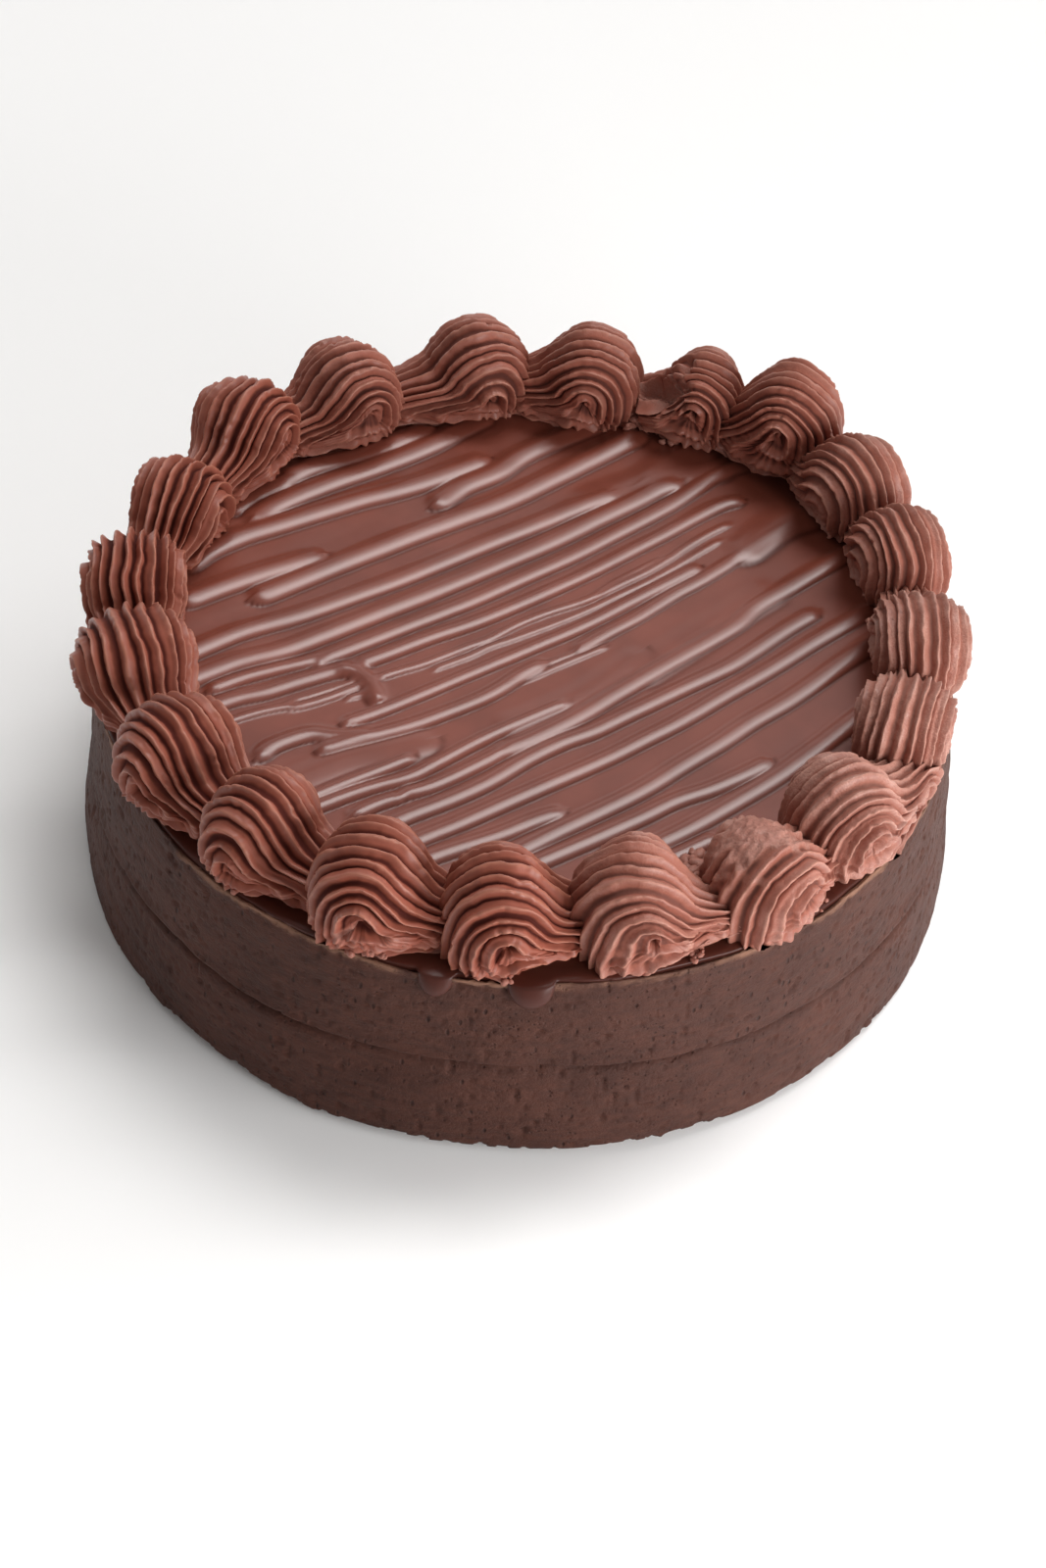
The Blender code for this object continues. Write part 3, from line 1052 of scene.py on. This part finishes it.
    def ridges(self, place: Field) -> tuple[Field, Field]:
        """Give the height of the drizzle and of the soft streaks between its lines.

        Args:
            place: The distances along and across the drizzle, as rows of two.

        Returns:
            The height above the flat top, and how near each point is to a ridge's steep foot.
        """
        along, over = place.T
        level = np.zeros_like(along)
        wobble = layered(np.column_stack((along, over * 0.3, level)), self.wobble)
        swept = place / MM + np.column_stack((level, wobble))
        total = np.zeros(len(place))
        foot = np.zeros(len(place))
        for stroke in DRIZZLE:
            height, edge = self.stroke_height(stroke, swept)
            total += height ** 4
            foot = np.maximum(foot, edge)
        merged = total ** 0.25
        streaks = layered(np.column_stack((along * 0.16, over, level)), *self.streaks)
        return (merged + streaks) * MM, foot * np.clip(1.3 - merged / 0.5, 0.0, 1.0)

    def stroke_height(self, stroke: Stroke, place: Field) -> tuple[Field, Field]:
        """Give the height of one drizzled line, in millimetres.

        Args:
            stroke: The line.
            place: Points along and across the drizzle, in millimetres.

        Returns:
            The height at each point, and how near it is to the line's steep foot; a line is
            rounded in front and then drops off steeply.
        """
        knots = np.array(stroke.knots, float)
        path = curve_through(knots, np.linspace(0.0, 1.0, self.path_steps * len(knots)), False)
        reach = self.near_reach * stroke.half_width
        near = np.all((place > path.min(0) - reach) & (place < path.max(0) + reach), axis=1)
        here = place[near]
        best = np.full(len(here), np.inf)
        side = np.zeros(len(here))
        for start, end in zip(path, path[1:]):
            way = end - start
            offset = here - start
            share = np.clip(offset @ way / max(way @ way, TINY), 0.0, 1.0)
            gap = offset - share[:, None] * way
            distance = np.hypot(gap[:, 0], gap[:, 1])
            nearer = distance < best
            best = np.where(nearer, distance, best)
            side = np.where(nearer, way[0] * offset[:, 1] - way[1] * offset[:, 0], side)
        behind = side > 0.0
        back = 0.5 + 0.5 * np.cos(math.pi * np.clip(best / (self.back_reach * stroke.half_width), 0.0, 1.0))
        away = best / (self.front_reach * stroke.half_width)
        part = np.clip(away, 0.0, 1.0)
        soft = np.sqrt(part ** 2 + self.front_soft ** 2) - self.front_soft
        first, second, fourth = self.front_curve
        front = 1.0 - (first * soft + second * part ** 2 + fourth * part ** 4) / self.front_full
        at_foot = np.exp(-(((away - self.foot_place) / self.foot_width) ** 2)) * min(stroke.height / 0.8, 1.0)
        height = np.zeros(len(place))
        height[near] = stroke.height * np.where(behind, back, np.clip(front, 0.0, 1.0))
        foot = np.zeros(len(place))
        foot[near] = np.where(behind, 0.0, at_foot)
        return height, foot

    def over_the_rim(self, angle: Field, share: Field) -> tuple[Field, Field]:
        """Follow the edge of the top: tucked in behind the coat's crust, or over it in a drip.

        Args:
            angle: The angle round the cake.
            share: How far along this way, from 0 to 1; past the tuck's share it turns in again.

        Returns:
            The radius and the height.
        """
        depth = np.full_like(angle, self.tuck_depth)
        proud = layered(round_cake(angle, 0.0), *self.edge_waves) - self.crust_gap
        over = np.zeros_like(angle)
        for drip in self.drips:
            offset = np.abs((angle - drip.angle + math.pi) % TAU - math.pi) / drip.half_width
            inside = np.sqrt(np.clip(1.0 - offset ** 2, 0.0, 1.0))
            over = np.maximum(over, ease(1.3 * inside))
            depth = depth + (drip.length - self.tuck_depth) * inside ** 1.3
            proud = proud + (drip.thickness - proud) * inside
        down = np.clip((share - self.round_share) / (self.tuck_share - self.round_share), 0.0, 1.0)
        arc = np.clip(share / self.round_share, 0.0, 1.0)
        height = ganache_level() - depth * down ** 1.2 - self.edge_drop * arc ** 2 * (1.0 - down)
        belly = np.sin(math.pi * down ** 1.6) ** 0.6
        shape = (0.60 + 0.40 * belly) * (1.0 - 0.6 * np.clip(down * 6.0 - 5.0, 0.0, 1.0) ** 2)
        out = np.where(proud > 0.0, proud * (1.0 + over * (shape - 1.0)), proud)
        bow = (out + self.edge_round) * np.sin(0.5 * math.pi * arc)
        tuck = np.clip((share - self.tuck_share) / (1.0 - self.tuck_share), 0.0, 1.0)
        radius = self.wall.radius(angle, height) - self.edge_round + bow
        radius = radius - (np.maximum(out, 0.0) + self.tuck_inwards) * tuck
        height = np.where(tuck > 0.99, ganache_level() - self.tuck_depth, height)
        return radius, height


# ---------------------------------------------------------------- the piped shells


class Skin(Enum):
    """How the surface of the piped frosting came out; the finer and grainier skins, given to the shells on
    the lit right side, are also painted paler.
    """

    SMOOTH = 0.0
    SATIN = 0.22
    FINE = 0.45
    GRAINY = 0.9


@dataclass(frozen=True)
class Patch:
    """A spot where a shell is torn or smeared.

    Its place across the shell is in degrees, its place round the outline and its spread are shares,
    and its bite is in millimetres.
    """

    across: float
    along: float
    spread: float
    bite: float = 0.0
    smear: float = 0.0


@dataclass
class PipedShell:
    """One piped shell: a fluted head with a curl at each side and a tail that runs down from it.

    Its place, size and tail are in millimetres and degrees, as a piper would note them down. The
    shell's number is added to the seed of every pattern, so each shell has its own.
    """

    number: int
    angle: float
    radius: float
    width: float
    height: float
    tail_turn: float = 0.0
    flutes: float = 13.5
    shift: float = 0.0
    tail_extra: float = 0.0
    tail_bend: float = 0.0
    skin: Skin = Skin.SMOOTH
    patches: tuple[Patch, ...] = ()
    rings: int = 220
    columns: int = 148
    barrel: float = 0.0
    squeeze: float = 1.0
    belly: float = 0.16
    tuck: float = 0.24
    tuck_height: float = 7.0 * MM
    tail_start: float = 0.22
    tail_narrow: float = 0.42
    tail_round: float = 0.34
    tail_drop: float = 0.7
    tail_lift: float = 0.8
    flute_depth: float = 1.8 * MM
    flute_base: float = 0.66
    flute_sway: tuple[Scale, ...] = ((0.20, 9.0 * MM, 0), (0.09, 4.0 * MM, 40), (0.05, 1.5 * MM, 400))
    flute_wander: float = 0.11
    flute_strength: float = 0.90
    strength_lumps: Scale = (0.22, 7.0 * MM, 80)
    strength_turns: float = 0.13
    valley_round: float = 0.10
    shingle: float = 0.08
    lean: float = 0.08
    curl_height: float = 11.0
    curl_shift: float = 0.5
    curl_width: float = 0.14
    curl_dimple: float = 3.0 * MM
    skirt: float = 1.6
    strands: float = 22.0
    strand_depth: float = 0.45 * MM
    strand_sway: Scale = (2.5, 5.0 * MM, 440)
    low_band: float = 3.5 * MM
    low_lumps: Scale = (0.5 * MM, 1.7 * MM, 340)
    tears: Pocks = (0.9 * MM, 1.3 * MM, 120, 0.2)
    tear_places: Pocks = (1.0, 6.0 * MM, 160, 0.1)
    nicks: Pocks = (0.45 * MM, 1.1 * MM, 360, 0.15)
    sag: Scale = (0.35 * MM, 8.0 * MM, 200)
    fine_lumps: Scale = (0.05 * MM, 0.9 * MM, 240)
    smear_rise: float = 0.6 * MM
    smear_lumps: tuple[Scale, ...] = ((0.15 * MM, 2.2 * MM, 280), (0.22 * MM, 1.4 * MM, 320))
    smear_look: float = 0.6
    patch_lumps: Scale = (0.45, 2.6 * MM, 300)
    sink: float = 0.5 * MM
    normal_step: float = 2e-3

    @property
    def name(self) -> str:
        """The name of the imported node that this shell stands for."""
        return f"shell_{self.number:02d}"

    def lumps(self, points: Field, *scales: Scale) -> Field:
        """Add up unevenness of several scales in the shell's own pattern."""
        return layered(points, *((strength, size, seed + self.number) for strength, size, seed in scales))

    def pocks(self, points: Field, sort: Pocks) -> Field:
        """Give pits of one sort in the shell's own pattern."""
        strength, size, seed, level = sort
        return strength * peaks(points, size, seed + self.number, level)

    def seat(self) -> Vector:
        """Find the point on the ganache under the middle of the head.

        Returns:
            The point.
        """
        turn = math.radians(self.angle)
        reach = self.radius * MM
        return Vector((reach * math.cos(turn), reach * math.sin(turn), ganache_level()))

    def build(self, following: "PipedShell", material: bpy.types.Material) -> bpy.types.Object:
        """Pipe the shell towards the following head and dress it.

        Args:
            following: The shell whose head covers this one's tail.
            material: The shell's finish.

        Returns:
            The finished piece.
        """
        bm = bmesh.new()
        bmesh.ops.create_uvsphere(bm, u_segments=self.columns, v_segments=self.rings, radius=1.0)
        piece = new_piece(f"piped_{self.name}", bm)
        ball = mesh_points(piece.data)
        across = np.arccos(np.clip(ball[:, 2], -1.0, 1.0))
        along = np.arctan2(ball[:, 1], ball[:, 0]) / TAU % 1.0
        way = following.seat() - self.seat()
        turned = Matrix.Rotation(math.radians(-self.tail_turn), 3, "Z") @ way
        forward = turned.normalized()
        outward = forward.cross(Vector((0.0, 0.0, 1.0)))
        tail = way.length + self.tail_extra * MM
        local, crest, grain = self.surface(across, along, tail)
        axes = np.array((outward, forward, (0.0, 0.0, 1.0)))
        store_points(piece.data, local @ axes + np.array(self.seat()))
        store_attribute(piece.data, "crest", crest)
        store_attribute(piece.data, "grain", grain)
        face_outwards(piece.data)
        dress(piece, material, "piped_frosting", self.name)
        return piece

    def girth(self, along: Field, tail: float) -> Field:
        """Follow the outline of the shell seen from the side.

        Args:
            along: How far round the outline, from 0 to 1, starting at the front foot.
            tail: The tail's length from the middle of the head.

        Returns:
            Points towards the tail and up, as rows of two.
        """
        wide, tall, lift = self.width * MM, self.height * MM, self.tail_lift * MM
        knots = np.array((
            (-0.36 * wide, -0.02 * tall),
            (-0.450 * wide, 0.14 * tall),
            (-0.470 * wide, 0.46 * tall),
            (-0.375 * wide, 0.76 * tall),
            (-0.190 * wide, 0.945 * tall),
            (0.010 * wide, 1.00 * tall),
            (0.205 * wide, 0.925 * tall),
            (0.365 * wide, 0.735 * tall),
            (0.500 * wide, 0.540 * tall),
            (0.3 * 0.56 * wide + 0.7 * (tail - 5.0 * MM), 0.42 * tall),
            (tail - 1.5 * MM, 0.30 * tall),
            (tail, 0.12 * tall + 0.6 * lift),
            (tail - 5.0 * MM, -0.02 * tall + lift),
            (0.30 * wide, -0.03 * tall + lift),
            (0.0, -0.03 * tall),
        ))
        return curve_through(knots, along, True)

    def smooth_point(self, across: Field, along: Field, tail: float) -> Field:
        """Give points on the shell before its flutes are raised.

        Args:
            across: The angle from the outer curl, over the shell, to the inner one.
            along: How far round the outline, from 0 to 1.
            tail: The tail's length.

        Returns:
            Points outwards, towards the tail and up, as rows of three.
        """
        outline = self.girth(along, tail)
        ring = np.sin(across)
        wide = self.width * MM
        start = self.tail_start * wide
        in_tail = ease((outline[:, 0] - start) / (tail - start)) * ease(ring / 0.6)
        size = ring ** (1.0 - self.barrel * (1.0 - in_tail) - self.tail_round * in_tail)
        middle_y = self.curl_shift * MM
        middle_z = self.curl_height * MM * (1.0 - self.tail_drop * in_tail)
        half = 0.5 * wide * self.squeeze * (1.0 - self.tail_narrow * in_tail)
        hang = np.where(outline[:, 1] < middle_z, 1.0 + (self.skirt - 1.0) * (1.0 - in_tail), 1.0)
        up = middle_z + size * hang * (outline[:, 1] - middle_z)
        tucked = 1.0 - self.tuck * (1.0 - ease(up / self.tuck_height))
        out = half * np.cos(across) * (1.0 + self.belly * ring ** 2) * tucked
        out = out + self.tail_bend * MM * in_tail ** 2
        forward = middle_y + size * (outline[:, 0] - middle_y)
        return np.column_stack((out, forward, up))

    def bare_skin(self, across: Field, along: Field, tail: float) -> tuple[Field, Field]:
        """Give the shell before its flutes are raised, with the way outwards.

        Args:
            across: The angle from the outer curl to the inner one.
            along: How far round the outline.
            tail: The tail's length.

        Returns:
            The points and the unit vectors outwards, each as rows of three.
        """
        step = self.normal_step
        inner = np.clip(across, step * 2.0, math.pi - step * 2.0)
        point = self.smooth_point(inner, along, tail)
        over = self.smooth_point(inner + step, along, tail) - self.smooth_point(inner - step, along, tail)
        round_way = self.smooth_point(inner, (along + step) % 1.0, tail)
        round_way = round_way - self.smooth_point(inner, (along - step) % 1.0, tail)
        normal = np.cross(round_way, over)
        normal /= np.maximum(np.linalg.norm(normal, axis=1), TINY)[:, None]
        outwards = (normal * (point - point.mean(0))).sum() > 0.0
        return point, normal if outwards else -normal

    def flutes_at(self, across: Field, along: Field, point: Field) -> tuple[Field, Field]:
        """Give the flutes, which wander and lean a little and overlap like shingles.

        Args:
            across: The angle from the outer curl to the inner one.
            along: How far round the outline.
            point: The points in the shell's own axes.

        Returns:
            How near each point is to the crest of a flute, and how strong that flute is.
        """
        sway = self.lumps(point, *self.flute_sway)
        phase = self.flutes * across / math.pi + along + self.shift + sway
        shingle = self.shingle * np.clip(2.0 * np.cos(across), -1.0, 1.0) * np.cos(TAU * phase)
        wander = self.flute_wander * np.sin(1.9 * phase + self.number)
        phase = phase + wander + self.lean * np.sin(TAU * phase) + shingle
        low = math.sqrt(self.valley_round)
        arch = np.sqrt(np.cos(math.pi * phase) ** 2 + self.valley_round)
        crest = (arch - low) / (math.sqrt(1.0 + self.valley_round) - low)
        turns = self.strength_turns * np.sin(2.4 * np.rint(phase) + 1.7 * self.number)
        return crest, self.flute_strength + self.lumps(point, self.strength_lumps) + turns

    def surface(self, across: Field, along: Field, tail: float) -> tuple[Field, Field, Field]:
        """Give the finished surface.

        Args:
            across: The angle from the outer curl to the inner one.
            along: How far round the outline.
            tail: The tail's length.

        Returns:
            The points in the shell's own axes, how near each is to the crest of a flute (lowered in the
            strands' grooves and the curl's dimple, which paints shade there), and its grain.
        """
        point, normal = self.bare_skin(across, along, tail)
        crest, strength = self.flutes_at(across, along, point)
        smear, bite = self.damage(across, along, point)
        ring = np.sin(across)
        depth = self.flute_depth * strength * (1.0 - 0.93 * smear) * (1.0 + 0.35 * (1.0 - ring))
        low = 1.0 - ease(point[:, 2] / self.low_band)
        torn = np.maximum(ease(self.pocks(point, self.tear_places) / 0.3), low) * crest
        rise = depth * crest - self.flute_base * self.flute_depth - bite
        rise -= torn * self.pocks(point, self.tears) + crest ** 2 * self.pocks(point, self.nicks)
        rise += self.lumps(point, self.sag) + low * self.lumps(point, self.low_lumps)
        rise += self.lumps(point, self.fine_lumps) * (1.0 + 1.6 * self.skin.value + 5.0 * smear)
        rise += smear * (self.smear_rise + self.lumps(point, *self.smear_lumps))
        strand = np.cos(TAU * self.strands * along + self.lumps(point, self.strand_sway))
        gather = ease((0.82 - ring) / 0.35) * (1.0 - ease(point[:, 2] / (self.curl_height * MM)))
        rise += self.strand_depth * strand * gather
        # Painted shade: near the foot the crest value follows the strands, so their grooves take the dark
        # hollow colour
        crest = crest * (1.0 - 0.6 * gather) + 0.6 * gather * (0.5 + 0.5 * strand)
        curl = np.exp(-((ring / self.curl_width) ** 2))
        rise -= self.curl_dimple * curl
        # Painted shade: the curl's dimple takes the dark hollow colour
        crest = crest * (1.0 - 0.7 * curl)
        shaped = point + normal * rise[:, None]
        shaped[:, 2] = np.maximum(shaped[:, 2], -self.sink)
        grain = np.clip(self.skin.value + smear, 0.0, 1.0)
        return shaped, crest * (1.0 - smear) + self.smear_look * smear, grain

    def damage(self, across: Field, along: Field, point: Field) -> tuple[Field, Field]:
        """Add up the torn and smeared spots.

        Args:
            across: The angle from the outer curl to the inner one.
            along: How far round the outline.
            point: The points in the shell's own axes.

        Returns:
            How much each point is smeared, from 0 to 1, and how deep it is bitten away.
        """
        smear = np.zeros_like(across)
        bite = np.zeros_like(across)
        for patch in self.patches:
            distance = np.hypot((across - math.radians(patch.across)) / 0.9, (along - patch.along) * 4.0)
            ragged = distance / patch.spread + self.lumps(point, self.patch_lumps)
            inside = 1.0 - ease((ragged - 0.5) / 0.6)
            smear = np.maximum(smear, patch.smear * inside)
            bite = np.maximum(bite, patch.bite * MM * inside)
        return smear, bite


SHELLS = (
    PipedShell(1, 101.0, 94.5, 27.5, 22.0, shift=0.3, curl_height=8.0, skin=Skin.SATIN),
    PipedShell(2, 83.5, 92.5, 27.0, 22.5, shift=0.7, skin=Skin.SATIN),
    PipedShell(3, 66.0, 94.5, 24.0, 22.0, squeeze=0.90, shift=0.1, curl_height=13.0, skin=Skin.SATIN,
               patches=(Patch(118.0, 0.60, 0.9, 5.0, 1.0),)),
    PipedShell(4, 52.5, 98.5, 29.0, 25.5, squeeze=0.88, shift=0.5, curl_height=16.0, skin=Skin.SATIN,
               tail_turn=-6.0),
    PipedShell(5, 37.5, 95.5, 27.5, 22.0, squeeze=0.87, shift=0.9, curl_height=3.0, skin=Skin.FINE,
               barrel=0.35, skirt=1.0),
    PipedShell(6, 21.5, 92.5, 27.0, 21.5, squeeze=0.82, shift=0.2, curl_height=3.0, skin=Skin.FINE,
               barrel=0.40, skirt=1.0),
    PipedShell(7, 2.5, 90.0, 26.5, 21.5, squeeze=0.84, shift=0.6, curl_height=9.0, skin=Skin.GRAINY,
               barrel=0.3),
    PipedShell(8, -15.5, 88.5, 26.5, 22.0, squeeze=0.84, shift=0.0, curl_height=9.0, skin=Skin.GRAINY,
               barrel=0.2),
    PipedShell(9, -37.0, 89.5, 28.0, 23.0, squeeze=0.88, shift=0.4, curl_height=13.5, skin=Skin.GRAINY,
               tail_turn=32.0, tail_extra=-2.4, tail_bend=-6.4, tail_narrow=0.40, tuck=0.10),
    PipedShell(10, -54.0, 91.0, 28.0, 23.0, squeeze=0.90, shift=0.8, curl_height=12.0, skin=Skin.FINE,
               curl_shift=3.0, flutes=12.0, tuck=0.08, patches=(Patch(108.0, 0.36, 0.85, 0.3, 1.0),)),
    PipedShell(11, -73.0, 88.5, 28.0, 23.0, shift=0.15, curl_height=13.0, skin=Skin.FINE,
               curl_shift=4.0, tail_turn=14.0, tail_narrow=0.75, tail_lift=4.0, tuck=0.10),
    PipedShell(12, -91.0, 88.5, 27.5, 22.5, shift=0.55, curl_height=11.0, tail_lift=5.0, tuck=0.12),
    PipedShell(13, -109.0, 89.5, 28.0, 23.0, shift=0.35, curl_height=12.0, tuck=0.14,
               patches=(Patch(8.0, 0.05, 0.3, 0.6, 0.6),)),
    PipedShell(14, -127.5, 88.5, 26.5, 23.0, shift=0.75, curl_height=7.5, tuck=0.16),
    PipedShell(15, -146.5, 90.0, 27.5, 23.0, shift=0.25, curl_height=9.5, curl_shift=3.5, tuck=0.16),
    PipedShell(16, -166.0, 90.5, 27.5, 22.5, shift=0.95, curl_height=9.0, tuck=0.16),
    PipedShell(17, 177.0, 91.5, 26.5, 21.5, squeeze=0.88, shift=0.45, curl_height=8.0, barrel=0.3,
               flute_depth=2.5 * MM),
    PipedShell(18, 159.5, 90.5, 26.5, 21.5, squeeze=0.82, shift=0.05, curl_height=8.0, barrel=0.3,
               flute_depth=2.5 * MM),
    PipedShell(19, 139.5, 94.5, 27.5, 22.5, squeeze=0.88, shift=0.65, curl_height=12.5),
    PipedShell(20, 122.0, 92.5, 27.0, 22.0, shift=0.85, curl_height=13.0, skin=Skin.SATIN),
)


@dataclass(frozen=True)
class CrumbHeap:
    """A few torn bits of frosting: where they lie, how far they spread and how big they are.

    The angle is in degrees and the rest in millimetres.
    """

    angle: float
    radius: float
    lift: float
    spread: float
    count: int
    size: float


HEAPS = (
    CrumbHeap(-60.0, 77.0, 4.0, 4.4, 60, 1.45),
    CrumbHeap(-55.5, 80.0, 3.5, 3.0, 14, 1.1),
    CrumbHeap(75.0, 91.5, 2.0, 5.0, 30, 1.3),
    CrumbHeap(69.0, 88.5, 1.2, 3.0, 14, 1.1),
    CrumbHeap(-106.6, 98.0, 0.8, 2.6, 26, 0.9),
    CrumbHeap(-109.6, 98.8, 0.4, 2.2, 14, 0.8),
    CrumbHeap(-127.5, 97.8, 0.6, 2.0, 14, 0.8),
    CrumbHeap(-89.5, 98.4, 0.6, 2.2, 14, 0.7),
    CrumbHeap(-65.5, 97.0, 1.2, 2.4, 12, 0.8),
    CrumbHeap(-94.5, 96.5, 0.8, 2.2, 10, 0.7),
    CrumbHeap(-46.5, 97.8, 0.5, 2.2, 10, 0.7),
    CrumbHeap(112.0, 91.0, 1.0, 3.0, 10, 0.9),
)


@dataclass
class Crumbs:
    """The torn bits that lie at the feet of the shells, in one piece."""

    heaps: tuple[CrumbHeap, ...] = HEAPS
    draw_seed: int = 7
    lowest: float = 0.2
    most_tilt: float = 0.6
    roughness: float = 0.28 * MM
    rough_size: float = 0.8 * MM
    look: float = 0.6

    def build(self, material: bpy.types.Material) -> bpy.types.Object:
        """Drop the crumbs and dress them.

        Args:
            material: The shells' finish.

        Returns:
            The finished piece.
        """
        bm = bmesh.new()
        rng = np.random.default_rng(self.draw_seed)
        for heap in self.heaps:
            for _ in range(heap.count):
                self.drop(bm, heap, rng)
        piece = new_piece("frosting_crumbs", bm)
        points = mesh_points(piece.data)
        rough = np.column_stack([lumps(points, self.rough_size, seed) for seed in (51, 52, 53)])
        store_points(piece.data, points + self.roughness * rough)
        for name in ("crest", "grain"):
            store_attribute(piece.data, name, np.full(len(points), self.look))
        dress(piece, material, "piped_frosting")
        return piece

    def drop(self, bm: bmesh.types.BMesh, heap: CrumbHeap, rng: np.random.Generator) -> None:
        """Drop one crumb of a heap.

        Args:
            bm: The bmesh that gets the crumb.
            heap: The heap.
            rng: The source of its place, size and turn.
        """
        turn = math.radians(heap.angle)
        away = rng.normal(0.0, 0.5, 2) * heap.spread
        reach = (heap.radius + float(np.clip(away[0], -heap.spread, heap.spread))) * MM
        side = float(np.clip(away[1], -1.5 * heap.spread, 1.5 * heap.spread)) * MM
        level = ganache_level() + (self.lowest + heap.lift * float(rng.random())) * MM
        place = Matrix.Rotation(turn, 3, "Z") @ Vector((reach, side, level))
        size = heap.size * MM * (0.5 + 0.6 * float(rng.random()))
        stretch = Matrix.Diagonal((size * (1.0 + 0.7 * float(rng.random())), size, 0.8 * size, 1.0))
        spin = Matrix.Rotation(TAU * float(rng.random()), 4, "Z")
        spin = spin @ Matrix.Rotation(self.most_tilt * float(rng.random()), 4, "X")
        matrix = Matrix.Translation(place) @ spin @ stretch
        bmesh.ops.create_uvsphere(bm, u_segments=8, v_segments=6, radius=1.0, matrix=matrix)


# ---------------------------------------------------------------- the studio


@dataclass(frozen=True)
class Panel:
    """A soft light panel that faces the cake: its place, its width and height, and how bright it is."""

    name: str
    place: Vector
    width: float
    height: float
    radiance: float

    def hang(self) -> None:
        """Hang the panel."""
        data = bpy.data.lights.new(self.name, "AREA")
        data.shape = "RECTANGLE"
        data.size = self.width
        data.size_y = self.height
        data.energy = self.radiance * math.pi * self.width * self.height
        lamp = bpy.data.objects.new(self.name, data)
        lamp.location = self.place
        lamp.visible_camera = False
        lamp.rotation_euler = (-self.place).to_track_quat("-Z", "Y").to_euler()
        bpy.context.scene.collection.objects.link(lamp)


@dataclass
class Studio:
    """Plain pale floor, soft lights, bright surround and the camera."""

    camera_place: Vector = field(default_factory=lambda: Vector((-0.3, -529.0, 552.8)) * MM)
    camera_aim: Vector = field(default_factory=lambda: Vector((1.3, 0.0, 9.6)) * MM)
    camera_roll: float = math.radians(4.36)
    lens: float = 72.0
    floor_size: float = 8.0
    dim: float = 0.29
    backdrop: float = 0.54
    window: float = 9.8
    window_turn: float = math.radians(22.0)
    panels: tuple[Panel, ...] = field(default_factory=lambda: (
        Panel("back_panel", Vector((1.05, 0.75, 1.10)), 0.9, 0.8, 2.1),
        Panel("side_panel", Vector((0.36, -0.30, 0.16)), 0.34, 0.20, 9.8),
    ))

    def build(self) -> None:
        """Make the floor, the lights, the surround and the camera."""
        self.make_floor()
        for panel in self.panels:
            panel.hang()
        self.make_surround()
        self.make_camera()
        bpy.context.scene.view_settings.view_transform = "Standard"

    def make_floor(self) -> None:
        """Lay a wide pale floor under the cake."""
        bm = bmesh.new()
        bmesh.ops.create_grid(bm, x_segments=4, y_segments=4, size=0.5 * self.floor_size)
        floor = new_piece("pale_floor", bm)
        floor.data.materials.append(FloorFinish().make())

    def make_surround(self) -> None:
        """Light the surround: dim all round, a paler backdrop low behind and a soft window high behind."""
        world = bpy.data.worlds.new("studio")
        world.use_nodes = True
        tree = ShaderTree(world.node_tree)
        way = tree.add("ShaderNodeTexCoord", {}, {}, "Generated")
        right, back, up = (tree.add("ShaderNodeSeparateXYZ", {}, {"Vector": way}, axis) for axis in "XYZ")
        turn = self.window_turn
        level = (math.sin(turn) * right + math.cos(turn) * back) / (1.001 - up * up) ** 0.5
        window = level.fade(0.70, 0.92) * (up + 0.22 * right).fade(0.835, 0.925) * (1.0 - up.fade(0.94, 0.99))
        backdrop = back.fade(-0.1, 0.5) * (1.0 - up.fade(0.45, 0.70))
        glow = self.dim + self.backdrop * backdrop + self.window * window
        shader = tree.add("ShaderNodeBackground", {}, {"Color": (1.0, 0.985, 0.975, 1.0), "Strength": glow})
        tree.join(shader, "ShaderNodeOutputWorld")
        bpy.context.scene.world = world

    def make_camera(self) -> None:
        """Set up the camera."""
        data = bpy.data.cameras.new("camera")
        data.lens = self.lens
        data.sensor_width = 36.0
        data.clip_end = 50.0
        camera = bpy.data.objects.new("camera", data)
        look = (self.camera_aim - self.camera_place).to_track_quat("-Z", "Y")
        roll = Quaternion((0.0, 0.0, 1.0), self.camera_roll)
        camera.rotation_mode = "QUATERNION"
        camera.rotation_quaternion = look @ roll
        camera.location = self.camera_place
        bpy.context.scene.collection.objects.link(camera)
        bpy.context.scene.camera = camera


def main() -> None:
    """Build the studio and the cake, piece by piece."""
    logging.basicConfig(level=logging.INFO, format="%(message)s")
    Studio().build()
    wall = Wall()
    coat = CoatFinish().make()
    CakeLayer(Tier.LOWER, wall).build(coat)
    CakeLayer(Tier.UPPER, wall).build(coat)
    Ganache(wall).build(GanacheFinish().make())
    piping = PipedFinish().make()
    for index, shell in enumerate(SHELLS):
        shell.build(SHELLS[index - 1], piping)
    Crumbs().build(piping)


if __name__ == "__main__":
    main()
